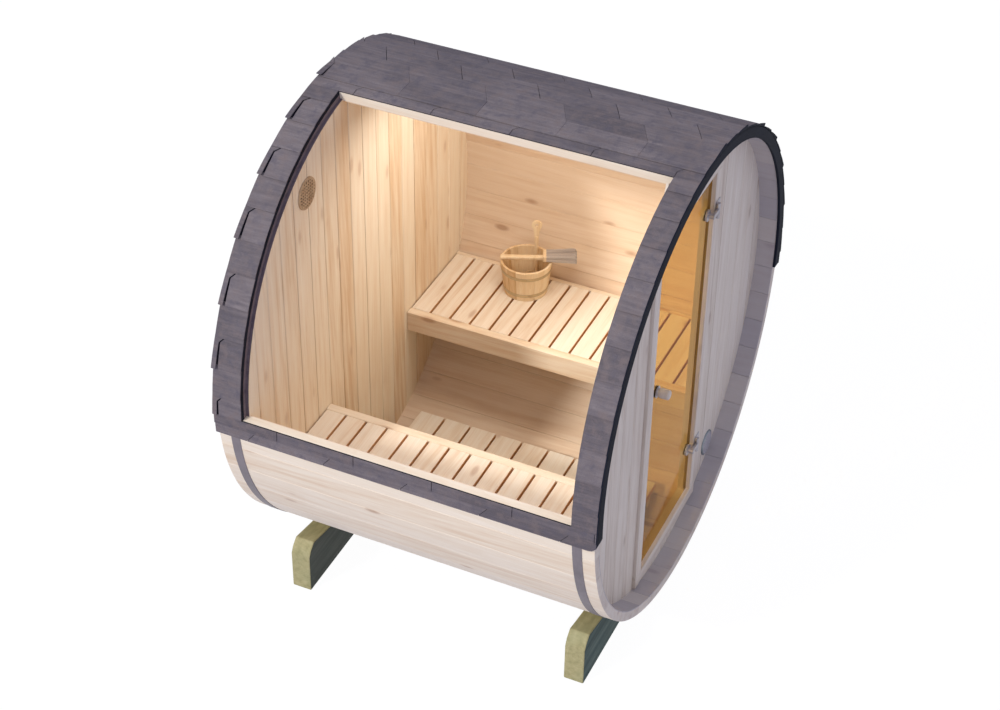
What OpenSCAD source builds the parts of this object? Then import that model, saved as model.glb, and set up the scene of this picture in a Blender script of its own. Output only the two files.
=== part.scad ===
// Barrel sauna with one side of the shell cut away.
// The barrel's axis lies along Y, the door is in the -Y end, the cut-away side faces -X.
// The origin is on the ground under the middle of the barrel.
// Angles round the barrel start at the -X side and rise over the top towards +X.

/* [Barrel] */
// Outer radius of the stave shell
barrel_r = 1025; // [900:5:1200]
// Length of the staves
barrel_len = 1600; // [1500:10:2400]
// Thickness of the staves
stave_t = 42; // [34:1:60]
// Angle that one stave covers
stave_deg = 7.5; // [6:0.5:10]
// Angle of the stave joint at the upper edge of the cut-away
cut_high_deg = 81; // [70:1:88]
// Angle of the lower edge of the cut-away
cut_low_deg = 0; // [-10:1:20]
// Open joint between neighbouring staves
joint_gap = 0.4; // [0.2:0.1:1]
// Depth of the groove that holds each end wall
croze_d = 10; // [6:1:14]

/* [End walls] */
// Thickness of the end walls
wall_t = 42; // [34:1:60]
// Setback of each end wall from the ends of the staves
wall_setback = 82; // [70:1:140]
// Width of wall rim that the cut-away leaves under the end staves
rim_seat = 12; // [8:1:20]

/* [Cradles] */
// Height of the barrel's lowest point above the ground
ground_gap = 95; // [60:1:200]
// Thickness of a cradle along the barrel
cradle_t = 88; // [60:1:140]
// Length of a cradle across the barrel
cradle_len = 1494; // [1300:2:1700]
// Height of a cradle's upright end
cradle_end_h = 185; // [120:1:240]
// Height of a cradle's horn above its upright end
cradle_horn_h = 60; // [30:1:90]
// Run of the sloped corner on a cradle's horn
cradle_corner = 46; // [20:1:90]
// Width over which a cradle carries the barrel
saddle_w = 880; // [600:10:1000]
// Distance of a cradle's middle from the end of the barrel
cradle_inset = 167; // [150:1:300]

/* [Hoops] */
// Width of a steel hoop
hoop_w = 40; // [20:1:45]
// Thickness of a steel hoop
hoop_t = 2; // [1:0.5:3]

/* [Roof] */
// Angle that one course of shingles shows
course_deg = 7.2; // [5:0.1:9]
// Angle that the starter strip shows below the lowest course
starter_deg = 2.2; // [1:0.1:4]
// Thickness of a course at its upper edge
course_top_t = 5; // [3.5:0.5:8]
// Thickness of a course at its lower edge
course_butt_t = 11; // [8:0.5:16]
// Lowest angle that the roof covers on both sides
roof_low_deg = -5.4; // [-12:0.1:-2]
// Overhang of the shingles past the ends of the staves
roof_overhang = 12; // [6:1:30]
// Depth of the edge board that covers the ends of the staves
edge_depth = 40; // [20:1:44]

/* [Door] */
// Width of the door frame
frame_w = 684; // [560:2:760]
// Width of a door frame member as seen from the front
frame_member = 57; // [40:1:70]
// Depth of a door frame member
frame_depth = 56; // [46:1:80]
// Gap between the frame's lower corners and the shell
frame_foot_gap = 6; // [3:1:30]
// Gap between the frame's upper corners and the shell
frame_head_gap = 76; // [40:1:160]
// Depth of the glass behind the face of the frame
glass_inset = 16; // [10:1:24]
// Thickness of the glass
glass_t = 8; // [6:1:12]
// Gap between the glass and the frame
glass_gap = 7; // [6:0.5:10]
// Width of the strips that the glass closes against
stop_w = 14; // [12:1:24]
// Gap between the glass and those strips
stop_gap = 5; // [5:0.5:8]
// Distance of the upper hinge from the top of the glass
hinge_top_inset = 173; // [80:1:300]
// Distance of the lower hinge from the foot of the glass
hinge_foot_inset = 246; // [80:1:300]
// Height of the knobs above the barrel's axis
knob_z = 35; // [-200:1:300]
// Distance of the knobs from the edge of the glass
knob_inset = 78; // [45:1:120]
// Diameter of the knobs
knob_d = 42; // [25:1:60]
// Length of the outer knob
knob_len = 50; // [30:1:60]
// Length of the inner knob
inner_knob_len = 40; // [20:1:50]

/* [Hinges] */
// Radius of the hinge knuckles
knuckle_r = 8; // [6:0.5:10]
// Radius of the hinge pin
pin_r = 4; // [2.5:0.5:5]
// Height of the middle knuckle
knuckle_h = 24; // [16:1:40]
// Height of a hinge leaf
leaf_h = 70; // [60:1:110]
// Thickness of a hinge leaf
leaf_t = 3; // [2:0.5:5]
// Radius of the clamp discs on the glass
clamp_r = 25; // [16:1:32]

/* [Benches] */
// Height of the bench seats below the barrel's axis
bench_drop = 400; // [300:5:520]
// Half of the width of the aisle between the benches
aisle_half = 356; // [300:2:420]
// Thickness of a bench's front rail
rail_t = 42; // [30:1:60]
// Height of a bench's front rail
rail_h = 100; // [80:1:160]
// Thickness of the slats
slat_t = 28; // [20:1:40]
// Number of slats on a bench
bench_slats = 14; // [8:1:20]
// Gap between the slats
slat_gap = 10; // [6:1:20]
// Width of the strip along the back of a bench
batten_w = 22; // [15:1:40]
// Width and height of the bearers under the slats
bearer = 45; // [30:1:60]

/* [Floor] */
// Height of the floor above the lowest line of the shell's inside
floor_lift = 103; // [80:1:160]
// Width of the floor
floor_w = 570; // [400:2:620]
// Gap between the floor and each end wall
floor_end_gap = 103; // [5:1:200]
// Distance of the floor's bearers from its long edges
floor_bearer_inset = 60; // [20:1:150]
// Number of floor slats
floor_slat_n = 9; // [5:1:14]

/* [Vents] */
// Radius of the hole through the wall
vent_bore_r = 48; // [30:1:60]
// Radius of the flange round a vent
vent_flange_r = 60; // [50:1:75]
// Thickness of the flange round a vent
vent_flange_t = 6; // [4:1:10]
// Angle of the back vent round the barrel
back_vent_deg = 57.3; // [30:0.1:75]
// Gap between the back vent's flange and the shell
back_vent_gap = 58; // [5:1:120]
// Angle of the front vent round the barrel
front_vent_deg = 236.5; // [220:0.1:240]
// Gap between the front vent's flange and the shell
front_vent_gap = 9; // [4:1:60]
// Number of louvre blades in a vent
vent_blades = 5; // [3:1:8]

/* [Bucket] */
// Distance of the bucket's middle from the back of the far bench
bucket_back = 137; // [125:1:300]
// Distance of the bucket's middle from the back wall
bucket_side = 406; // [150:1:900]
// Radius of the bucket's rim
bucket_rim_r = 118; // [90:1:140]
// Radius of the bucket's foot
bucket_foot_r = 98; // [80:1:120]
// Height of the bucket
bucket_h = 165; // [120:1:200]
// Thickness of the bucket's wall and floor
bucket_wall = 12; // [8:1:16]
// Height of the lower hoop above the bucket's foot
bucket_hoop_low = 23; // [10:1:60]
// Height of the upper hoop above the bucket's foot
bucket_hoop_high = 119; // [70:1:140]
// Length of the ladle
ladle_len = 320; // [260:1:420]
// Length of the brush from end to end
brush_len = 345; // [300:1:420]
// Length of the brush's head
brush_head = 148; // [100:1:180]
// Width of the brush's head
brush_w = 80; // [50:1:100]

/* [Hidden] */

$fn = 180;
roof_fn = 720;
seat_gap = 0.3;
hoop_edge = 2;
over = 1;
min_course_deg = 0.5;

top_end_deg = 136;
far_end_deg = 230;
bottom_end_deg = 310;
ridge_deg = 90;

axis_z = ground_gap + barrel_r;
inner_r = barrel_r - stave_t;
end_y = barrel_len / 2;
wall_out = end_y - wall_setback;
wall_in = wall_out - wall_t;
wall_r = inner_r + croze_d - seat_gap;
cut_front_y = -wall_out + rim_seat;
cut_back_y = wall_in + rim_seat;
cradle_y = end_y - cradle_inset;
hoop_y = wall_out - rim_seat + hoop_edge + hoop_w / 2;
roof_r = barrel_r + seat_gap;
roof_y = end_y + roof_overhang;
roof_high_deg = 180 - roof_low_deg;

wood = [0.87, 0.74, 0.56];
shade_wood = [0.78, 0.68, 0.55];
treated_wood = [0.56, 0.58, 0.44];
shingle_grey = [0.42, 0.39, 0.43];
edge_navy = [0.16, 0.17, 0.24];
steel = [0.66, 0.66, 0.68];
bronze_glass = [0.55, 0.42, 0.28, 0.5];

function dir(a) = [-cos(a), sin(a)];
function reach(r, z) = sqrt(r * r - z * z);

// Moves from the ground to the barrel's axis
module at_axis() {
    translate([0, 0, axis_z]) children();
}

// Draws a flat outline, seen along the barrel, from y0 to y1
module along_y(y0, y1) {
    translate([0, y1, 0])
        rotate([90, 0, 0])
            linear_extrude(y1 - y0) children();
}

// Wedge from the axis between two angles that are less than 120 degrees apart
module wedge(a0, a1, r) {
    far_r = 2 * r;
    polygon([[0, 0], far_r * dir(a0), far_r * dir((a0 + a1) / 2), far_r * dir(a1)]);
}

// Part of a ring between two radii and two angles
module ring_part(r0, r1, a0, a1) {
    intersection() {
        difference() {
            circle(r1);
            circle(r0);
        }
        wedge(a0, a1, r1);
    }
}

// One stave with its grooves for the end walls
module stave(a0, a1, y0, y1) {
    half_gap = joint_gap / 2 / inner_r * 180 / PI;
    difference() {
        along_y(y0, y1) ring_part(inner_r, barrel_r, a0 + half_gap, a1 - half_gap);
        for (y = [-wall_out, wall_in])
            along_y(y - seat_gap, y + wall_t + seat_gap) circle(inner_r + croze_d);
    }
}

// Staves from joint number k0 to k1, counted from the cut-away's upper edge
module staves(k0, k1, y0, y1) {
    for (k = [k0 : k1 - 1])
        stave(cut_high_deg + k * stave_deg, cut_high_deg + (k + 1) * stave_deg, y0, y1);
}

top_k = floor((top_end_deg - cut_high_deg) / stave_deg);
far_k = floor((far_end_deg - cut_high_deg) / stave_deg);
bottom_k = floor((bottom_end_deg - cut_high_deg) / stave_deg);
near_k = floor((360 + cut_low_deg - cut_high_deg) / stave_deg - 0.5);
rim_k = ceil((cut_high_deg - cut_low_deg) / stave_deg - 0.5);

module staves_top() {
    color(wood) at_axis() staves(0, top_k, -end_y, end_y);
}

module staves_far() {
    color(wood) at_axis() staves(top_k, far_k, -end_y, end_y);
}

module staves_bottom() {
    color(wood) at_axis() staves(far_k, bottom_k, -end_y, end_y);
}

// The last stave runs up to the cut-away's lower edge
module staves_near() {
    color(wood) at_axis() {
        staves(bottom_k, near_k, -end_y, end_y);
        stave(cut_high_deg + near_k * stave_deg, 360 + cut_low_deg, -end_y, end_y);
    }
}

// Short staves beside the cut-away, seated on the rim of an end wall
module rim_staves(y0, y1) {
    color(wood) at_axis() {
        staves(1 - rim_k, 0, y0, y1);
        stave(cut_low_deg, cut_high_deg - (rim_k - 1) * stave_deg, y0, y1);
    }
}

module rim_staves_front() {
    rim_staves(-end_y, cut_front_y);
}

module rim_staves_back() {
    rim_staves(cut_back_y, end_y);
}

// Steel band round the staves
module hoop(y) {
    color(steel) at_axis()
        along_y(y - hoop_w / 2, y + hoop_w / 2)
            difference() {
                circle(barrel_r + seat_gap + hoop_t);
                circle(barrel_r + seat_gap);
            }
}

module hoop_front() {
    hoop(-hoop_y);
}

module hoop_back() {
    hoop(hoop_y);
}

// Plank with a saddle for the barrel and a horn at each end
module cradle(y) {
    half = cradle_len / 2;
    horn_z = cradle_end_h + cradle_horn_h;
    saddle_z = axis_z - reach(barrel_r, saddle_w / 2);
    color(treated_wood)
        difference() {
            along_y(y - cradle_t / 2, y + cradle_t / 2)
                polygon([
                    [-half, 0], [half, 0], [half, cradle_end_h], [half - cradle_corner, horn_z],
                    [saddle_w / 2, saddle_z], [-saddle_w / 2, saddle_z],
                    [cradle_corner - half, horn_z], [-half, cradle_end_h]
                ]);
            at_axis() along_y(y - cradle_t, y + cradle_t) circle(barrel_r + seat_gap);
        }
}

module cradle_front() {
    cradle(-cradle_y);
}

module cradle_back() {
    cradle(cradle_y);
}

// One course of shingles between two angles, with channels for the hoops
module course(low, high, low_t, high_t, y0, y1) {
    half_gap = joint_gap / 2 / barrel_r * 180 / PI;
    a0 = low + half_gap;
    a1 = high - half_gap;
    inside = barrel_r - course_butt_t;
    difference() {
        along_y(y0, y1)
            polygon([
                inside * dir(a0), (barrel_r + low_t) * dir(a0),
                (barrel_r + high_t) * dir(a1), inside * dir(a1)
            ]);
        along_y(y0 - over, y1 + over) circle(roof_r, $fn = roof_fn);
        for (y = [-hoop_y, hoop_y])
            along_y(y - hoop_w / 2 - seat_gap, y + hoop_w / 2 + seat_gap)
                circle(roof_r + hoop_t + seat_gap, $fn = roof_fn);
    }
}

first_course = roof_low_deg + starter_deg;
course_n = ceil((ridge_deg - first_course) / course_deg);

// Lower edge of a course, counted up from the starter strip
function course_low(i) = first_course + i * course_deg;

// Thickness of a course at an angle, thick at its lower edge
function course_t(i, a) =
    course_butt_t - (course_butt_t - course_top_t) * (a - course_low(i)) / course_deg;

// Courses of one slope between two angles above the eave line of that slope
module slope_courses(a0, a1, y0, y1, far) {
    for (i = [-1 : course_n - 1]) {
        low = max(a0, course_low(i));
        high = min(a1, course_low(i + 1), ridge_deg);
        if (high - low > min_course_deg) {
            if (far)
                course(180 - high, 180 - low, course_t(i, high), course_t(i, low), y0, y1);
            else
                course(low, high, course_t(i, low), course_t(i, high), y0, y1);
        }
    }
}

module roof_top() {
    color(shingle_grey) at_axis() {
        slope_courses(cut_high_deg, ridge_deg, -roof_y, roof_y, false);
        slope_courses(180 - top_end_deg, 180 - max(ridge_deg, cut_high_deg), -roof_y, roof_y, true);
    }
}

module roof_far() {
    color(shingle_grey) at_axis()
        slope_courses(roof_low_deg, 180 - top_end_deg, -roof_y, roof_y, true);
}

module roof_band_front() {
    color(shingle_grey) at_axis() slope_courses(cut_low_deg, cut_high_deg, -roof_y, cut_front_y, false);
}

module roof_band_back() {
    color(shingle_grey) at_axis() slope_courses(cut_low_deg, cut_high_deg, cut_back_y, roof_y, false);
}

module roof_eave_near() {
    color(shingle_grey) at_axis() slope_courses(roof_low_deg, cut_low_deg, -roof_y, roof_y, false);
}

// Dark board that covers the ends of the staves under the roof
module roof_edge(y0, y1) {
    middle = (roof_low_deg + roof_high_deg) / 2;
    color(edge_navy) at_axis()
        along_y(y0, y1) {
            ring_part(barrel_r - edge_depth, barrel_r, roof_low_deg, middle);
            ring_part(barrel_r - edge_depth, barrel_r, middle, roof_high_deg);
        }
}

module roof_edge_front() {
    roof_edge(-roof_y, -end_y);
}

module roof_edge_back() {
    roof_edge(end_y, roof_y);
}

back_vent_at = (inner_r - back_vent_gap - vent_flange_r) * dir(back_vent_deg);
front_vent_at = (inner_r - front_vent_gap - vent_flange_r) * dir(front_vent_deg);

// Hole for a vent's sleeve through an end wall
module vent_hole(at) {
    translate([at[0], at[1]]) circle(vent_bore_r + seat_gap);
}

module back_wall() {
    color(wood) at_axis()
        along_y(wall_in, wall_out)
            difference() {
                circle(wall_r);
                vent_hole(back_vent_at);
            }
}

// Box cut out of the front wall's disc
module front_wall_piece(x0, x1, z0, z1) {
    color(shade_wood) at_axis()
        along_y(-wall_out, -wall_in)
            intersection() {
                difference() {
                    circle(wall_r);
                    vent_hole(front_vent_at);
                }
                translate([x0, z0]) square([x1 - x0, z1 - z0]);
            }
}

door_half = frame_w / 2;
frame_foot = -floor(reach(inner_r - frame_foot_gap, door_half));
frame_top = floor(reach(inner_r - frame_head_gap, door_half));
frame_face = wall_in + frame_depth;

module front_wall_left() {
    front_wall_piece(-barrel_r, -door_half, -barrel_r, barrel_r);
}

module front_wall_right() {
    front_wall_piece(door_half, barrel_r, -barrel_r, barrel_r);
}

module front_wall_over_door() {
    front_wall_piece(-door_half, door_half, frame_top, barrel_r);
}

module front_wall_under_door() {
    front_wall_piece(-door_half, door_half, -barrel_r, frame_foot);
}

// Upright or level member of the door frame
module frame_bar(x0, x1, z0, z1) {
    color(shade_wood) at_axis()
        translate([x0, -frame_face, z0]) cube([x1 - x0, frame_depth, z1 - z0]);
}

module door_jamb_left() {
    frame_bar(-door_half, frame_member - door_half, frame_foot + frame_member, frame_top - frame_member);
}

module door_jamb_right() {
    frame_bar(door_half - frame_member, door_half, frame_foot + frame_member, frame_top - frame_member);
}

module door_head() {
    frame_bar(-door_half, door_half, frame_top - frame_member, frame_top);
}

module door_sill() {
    frame_bar(-door_half, door_half, frame_foot, frame_foot + frame_member);
}

clear_half = door_half - frame_member;
clear_foot = frame_foot + frame_member;
clear_top = frame_top - frame_member;
glass_face = frame_face - glass_inset;
glass_back = glass_face - glass_t;
stop_face = glass_back - stop_gap;

// Strips on the jambs and the head, behind the glass
module door_stops() {
    color(shade_wood) at_axis()
        along_y(-stop_face, -wall_in)
            difference() {
                translate([-clear_half, clear_foot])
                    square([2 * clear_half, clear_top - clear_foot]);
                translate([stop_w - clear_half, clear_foot - over])
                    square([2 * (clear_half - stop_w), clear_top - clear_foot - stop_w + over]);
            }
}

glass_half = clear_half - glass_gap;

module door_glass() {
    color(bronze_glass) at_axis()
        translate([-glass_half, -glass_face, clear_foot + glass_gap])
            cube([2 * glass_half, glass_t, clear_top - clear_foot - 2 * glass_gap]);
}

rosette_t = 4;
rosette_rim = 5;
rosette_r = knob_d / 2 + rosette_rim;

// Round along Y from y0 to y1
module round_y(r, y0, y1) {
    translate([0, y1, 0]) rotate([90, 0, 0]) cylinder(r = r, h = y1 - y0);
}

// Turned knobs on both faces of the glass, each on a round plate
module door_knobs() {
    color(wood) at_axis()
        translate([knob_inset - glass_half, 0, knob_z]) {
            round_y(rosette_r, -glass_face - rosette_t, -glass_face);
            round_y(knob_d / 2, -glass_face - rosette_t - knob_len, -glass_face - rosette_t);
            round_y(rosette_r, -glass_back, rosette_t - glass_back);
            round_y(knob_d / 2, rosette_t - glass_back, rosette_t - glass_back + inner_knob_len);
        }
}

knuckle_clear = 3;
pin_clear = 0.3;
knuckle_gap = 1;
arm_t = 10;
arm_step = 2;
arm_h = knuckle_h - 2 * arm_step;
clamp_t = 8;
clamp_edge = 10;
low_hinge_z = clear_foot + glass_gap + hinge_foot_inset;
high_hinge_z = clear_top - glass_gap - hinge_top_inset;
hinge_x = clear_half + knuckle_r + knuckle_clear;
hinge_y = -frame_face - knuckle_r - knuckle_clear;
clamp_x = glass_half - clamp_r - clamp_edge;

// Discs that hold the glass, with an arm out to the middle knuckle
module hinge_clamp(z) {
    translate([0, 0, z]) {
        difference() {
            union() {
                translate([hinge_x, hinge_y, -knuckle_h / 2]) cylinder(r = knuckle_r, h = knuckle_h);
                translate([clamp_x, hinge_y - arm_t / 2, -arm_h / 2])
                    cube([hinge_x - clamp_x, arm_t, arm_h]);
                translate([clamp_x, 0, 0]) round_y(arm_h / 2, hinge_y - arm_t / 2, -glass_face);
            }
            translate([hinge_x, hinge_y, -knuckle_h]) cylinder(r = pin_r + pin_clear, h = 2 * knuckle_h);
        }
        translate([clamp_x, 0, 0]) {
            round_y(clamp_r, -glass_face - clamp_t, -glass_face);
            round_y(clamp_r, -glass_back, clamp_t / 2 - glass_back);
        }
    }
}

module hinge_clamps() {
    color(steel) at_axis() {
        hinge_clamp(low_hinge_z);
        hinge_clamp(high_hinge_z);
    }
}

// Plate on the jamb with the outer knuckles and the pin
module hinge_leaf(z) {
    end_h = (leaf_h - knuckle_h) / 2 - knuckle_gap;
    translate([hinge_x, hinge_y, z]) {
        translate([0, 0, -leaf_h / 2]) cylinder(r = pin_r, h = leaf_h);
        for (foot = [-leaf_h / 2, leaf_h / 2 - end_h])
            translate([0, 0, foot]) {
                difference() {
                    union() {
                        cylinder(r = knuckle_r, h = end_h);
                        cube([knuckle_r, knuckle_r + knuckle_clear, end_h]);
                    }
                    translate([0, 0, -over]) cylinder(r = pin_r, h = end_h + 2 * over);
                }
                cylinder(r = pin_r, h = end_h);
            }
        translate([0, knuckle_r + knuckle_clear - leaf_t, -leaf_h / 2])
            cube([door_half - hinge_x - leaf_t, leaf_t, leaf_h]);
    }
}

module hinge_leaves() {
    color(steel) at_axis() {
        hinge_leaf(low_hinge_z);
        hinge_leaf(high_hinge_z);
    }
}

bench_z = -bench_drop;
slat_under = bench_z - slat_t;
batten_out = reach(inner_r - seat_gap, slat_under);
slat_front = aisle_half + rail_t;
slat_back = batten_out - batten_w;
bench_pitch = 2 * wall_in / bench_slats;
bearer_under = slat_under - bearer;
back_bearer_out = reach(inner_r - seat_gap, bearer_under);

// Draws the far bench's pieces, or mirrors them to the near side
module bench_side(far) {
    at_axis() mirror([far ? 0 : 1, 0, 0]) children();
}

module bench_slat_row(far) {
    color(wood) bench_side(far)
        for (i = [0 : bench_slats - 1])
            translate([slat_front, -wall_in + i * bench_pitch + slat_gap / 2, slat_under])
                cube([slat_back - slat_front, bench_pitch - slat_gap, slat_t]);
}

module bench_rail(far) {
    color(wood) bench_side(far)
        translate([aisle_half, -wall_in, bench_z - rail_h]) cube([rail_t, 2 * wall_in, rail_h]);
}

module bench_batten(far) {
    color(wood) bench_side(far)
        translate([slat_back, -wall_in, slat_under]) cube([batten_w, 2 * wall_in, slat_t]);
}

// Bars under the slats: one behind the front rail, one along the shell
module bench_bearers(far) {
    color(wood) bench_side(far)
        for (x = [slat_front, back_bearer_out - bearer])
            translate([x, -wall_in, bearer_under]) cube([bearer, 2 * wall_in, bearer]);
}

module far_bench_slats() {
    bench_slat_row(true);
}

module far_bench_rail() {
    bench_rail(true);
}

module far_bench_batten() {
    bench_batten(true);
}

module far_bench_bearers() {
    bench_bearers(true);
}

module near_bench_slats() {
    bench_slat_row(false);
}

module near_bench_rail() {
    bench_rail(false);
}

module near_bench_batten() {
    bench_batten(false);
}

module near_bench_bearers() {
    bench_bearers(false);
}

floor_len = 2 * (wall_in - floor_end_gap);
floor_z = floor_lift - inner_r;
floor_pitch = (floor_len + slat_gap) / floor_slat_n;
floor_under = floor_z - slat_t;
floor_bearer_x = floor_w / 2 - floor_bearer_inset;

module floor_slats() {
    color(wood) at_axis()
        for (i = [0 : floor_slat_n - 1])
            translate([-floor_w / 2, i * floor_pitch - floor_len / 2, floor_under])
                cube([floor_w, floor_pitch - slat_gap, slat_t]);
}

// Bars that carry the floor slats and stand on the curve of the shell
module floor_bearers() {
    foot = -reach(inner_r - seat_gap, floor_bearer_x);
    color(wood) at_axis()
        for (side = [0, 1])
            mirror([side, 0, 0])
                translate([floor_bearer_x - bearer, -floor_len / 2, foot])
                    cube([bearer, floor_len, floor_under - foot]);
}

blade_t = 3;
vent_wall = 3;

// Sleeve through the wall with a flange on the outer side and slanted blades across it
module vent(at, face, back) {
    outward = sign(face - back);
    rim = face + outward * vent_flange_t;
    pitch = 2 * vent_bore_r / vent_blades;
    inside_r = vent_bore_r - vent_wall;
    color(steel) at_axis()
        translate([at[0], 0, at[1]]) {
            difference() {
                union() {
                    round_y(vent_bore_r, min(face, back), max(face, back));
                    round_y(vent_flange_r, min(face, rim), max(face, rim));
                }
                round_y(inside_r, min(rim, back) - over, max(rim, back) + over);
            }
            intersection() {
                round_y(inside_r + vent_wall / 2, min(face, rim), max(face, rim));
                for (i = [0 : vent_blades - 1])
                    translate([-vent_bore_r, min(face, rim), (i + 0.5) * pitch - vent_bore_r - blade_t / 2])
                        cube([2 * vent_bore_r, vent_flange_t, blade_t]);
            }
        }
}

module back_vent() {
    vent(back_vent_at, wall_in, wall_out);
}

module front_vent() {
    vent(front_vent_at, -wall_out, -wall_in);
}

bucket_inner_rim = bucket_rim_r - bucket_wall;
bucket_inner_foot = bucket_foot_r - bucket_wall;
function bucket_r(h) = bucket_foot_r + (bucket_rim_r - bucket_foot_r) * h / bucket_h;

module at_bucket() {
    at_axis() translate([batten_out - bucket_back, wall_in - bucket_side, bench_z]) children();
}

module bucket() {
    color(wood) at_bucket()
        rotate_extrude()
            polygon([
                [0, 0], [bucket_foot_r, 0], [bucket_rim_r, bucket_h], [bucket_inner_rim, bucket_h],
                [bucket_inner_foot, bucket_wall], [0, bucket_wall]
            ]);
}

bucket_hoop_h = 16;
bucket_hoop_t = 1.5;

// Two bands that grip the bucket's tapered wall
module bucket_hoops() {
    color(steel) at_bucket()
        for (foot = [bucket_hoop_low, bucket_hoop_high]) {
            low_r = bucket_r(foot) + seat_gap;
            high_r = bucket_r(foot + bucket_hoop_h) + seat_gap;
            rotate_extrude()
                polygon([
                    [low_r, foot], [low_r + bucket_hoop_t, foot],
                    [high_r + bucket_hoop_t, foot + bucket_hoop_h], [high_r, foot + bucket_hoop_h]
                ]);
        }
}

ladle_r = 7;
cup_r = 34;
cup_h = 42;
cup_wall = 5;
cup_gap = 4;
paddle_w = 36;
paddle_len = 95;
paddle_t = 10;
paddle_hole_r = 7;
ladle_turn = -11;
paddle_turn = 35;

// Flat handle with a round end and a hole, from its neck at the origin up along Y
module paddle_outline() {
    round_at = paddle_len - paddle_w / 2;
    difference() {
        union() {
            translate([-ladle_r, 0]) square([2 * ladle_r, round_at]);
            translate([0, round_at]) circle(paddle_w / 2);
        }
        translate([0, round_at]) circle(paddle_hole_r);
    }
}

// Ladle that stands in the bucket: a cup, a round stem and a flat handle
module ladle() {
    cup_x = bucket_inner_foot - cup_r - cup_gap;
    stem_len = ladle_len - paddle_len;
    color(wood) at_bucket()
        rotate([0, 0, ladle_turn])
            translate([cup_x, 0, bucket_wall]) {
                difference() {
                    cylinder(r = cup_r, h = cup_h);
                    translate([0, 0, cup_wall]) cylinder(r = cup_r - cup_wall, h = cup_h);
                }
                translate([cup_r - cup_wall, 0, 0]) {
                    cylinder(r = ladle_r, h = stem_len + ladle_r);
                    rotate([0, 0, paddle_turn])
                        translate([-paddle_t / 2, 0, stem_len])
                            rotate([90, 0, 90])
                                linear_extrude(paddle_t) paddle_outline();
                }
            }
}

brush_turn = -66;
handle_w = 24;
handle_t = 18;
head_t = 40;
head_round = 15;

// Brush that lies across the bucket's rim, its head past the rim in line with the handle
module brush() {
    handle_len = brush_len - brush_head;
    color(wood) at_bucket()
        translate([0, 0, bucket_h + seat_gap])
            rotate([0, 0, brush_turn])
                translate([-bucket_rim_r, 0, 0]) {
                    translate([0, -handle_w / 2, 0]) cube([handle_len, handle_w, handle_t]);
                    translate([handle_len, 0, 0])
                        rotate([90, 0, 90])
                            linear_extrude(brush_head) {
                                translate([-brush_w / 2, head_round])
                                    square([brush_w, head_t - 2 * head_round]);
                                translate([head_round - brush_w / 2, 0])
                                    square([brush_w - 2 * head_round, head_t]);
                                for (x = [head_round - brush_w / 2, brush_w / 2 - head_round])
                                    for (z = [head_round, head_t - head_round])
                                        translate([x, z]) circle(head_round);
                            }
                }
}

cradle_front();
cradle_back();
staves_bottom();
staves_far();
staves_top();
staves_near();
rim_staves_front();
rim_staves_back();
hoop_front();
hoop_back();
roof_top();
roof_far();
roof_band_front();
roof_band_back();
roof_eave_near();
roof_edge_front();
roof_edge_back();
back_wall();
front_wall_left();
front_wall_right();
front_wall_over_door();
front_wall_under_door();
door_jamb_left();
door_jamb_right();
door_head();
door_sill();
door_stops();
door_glass();
door_knobs();
hinge_clamps();
hinge_leaves();
far_bench_slats();
far_bench_rail();
far_bench_batten();
far_bench_bearers();
near_bench_slats();
near_bench_rail();
near_bench_batten();
near_bench_bearers();
floor_slats();
floor_bearers();
back_vent();
front_vent();
bucket();
bucket_hoops();
ladle();
brush();
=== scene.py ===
"""Barrel sauna with a cut-away side: timber, shingles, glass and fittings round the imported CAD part.

Lengths are in metres and angles in degrees, unless a line says otherwise.
"""

import math
import random

import bmesh
import bpy
from mathutils import Matrix, Vector


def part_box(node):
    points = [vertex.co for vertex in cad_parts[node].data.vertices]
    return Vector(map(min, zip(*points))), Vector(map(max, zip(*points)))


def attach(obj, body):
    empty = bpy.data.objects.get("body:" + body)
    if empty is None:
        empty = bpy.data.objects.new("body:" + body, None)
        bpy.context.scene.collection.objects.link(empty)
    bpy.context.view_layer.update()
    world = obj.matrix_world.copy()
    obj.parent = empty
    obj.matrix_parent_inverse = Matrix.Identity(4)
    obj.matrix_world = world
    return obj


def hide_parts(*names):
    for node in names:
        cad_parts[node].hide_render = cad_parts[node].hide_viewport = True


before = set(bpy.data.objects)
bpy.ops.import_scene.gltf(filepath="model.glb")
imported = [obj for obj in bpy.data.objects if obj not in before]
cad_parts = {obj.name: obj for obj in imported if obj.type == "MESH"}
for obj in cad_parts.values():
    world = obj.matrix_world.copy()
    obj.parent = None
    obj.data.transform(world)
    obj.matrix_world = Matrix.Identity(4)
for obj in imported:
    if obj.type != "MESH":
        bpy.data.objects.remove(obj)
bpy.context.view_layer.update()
rng = random.Random(7)

# Main places of the part. Angles run round the barrel from -X over the top.
AXIS_Z = 1.120
SHELL_R = 1.025
SHELL_IN = 0.983
END_Y = 0.800
WALL_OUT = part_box("back_wall")[1].y
WALL_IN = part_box("back_wall")[0].y
WALL_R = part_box("back_wall")[1].x
CUT_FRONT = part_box("rim_staves_front")[1].y
CUT_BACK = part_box("rim_staves_back")[0].y
ROOF_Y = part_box("roof_top")[1].y
STAVE_DEG = 7.5
CUT_HIGH = 81.0
ROOF_LOW = -5.4
COURSE_DEG = 7.2
FIRST_COURSE = -2.5
RIDGE = 90.0


ALONG_Y = Matrix.Rotation(math.radians(90), 4, "X")


def rim(r, deg, y):
    """Point at a radius and an angle round the barrel."""
    a = math.radians(deg)
    return Vector((-r * math.cos(a), y, AXIS_Z + r * math.sin(a)))


def arc(r, a0, a1, y, steps):
    """Points round the barrel from one angle to another."""
    return [rim(r, a0 + (a1 - a0) * k / steps, y) for k in range(steps + 1)]


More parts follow.
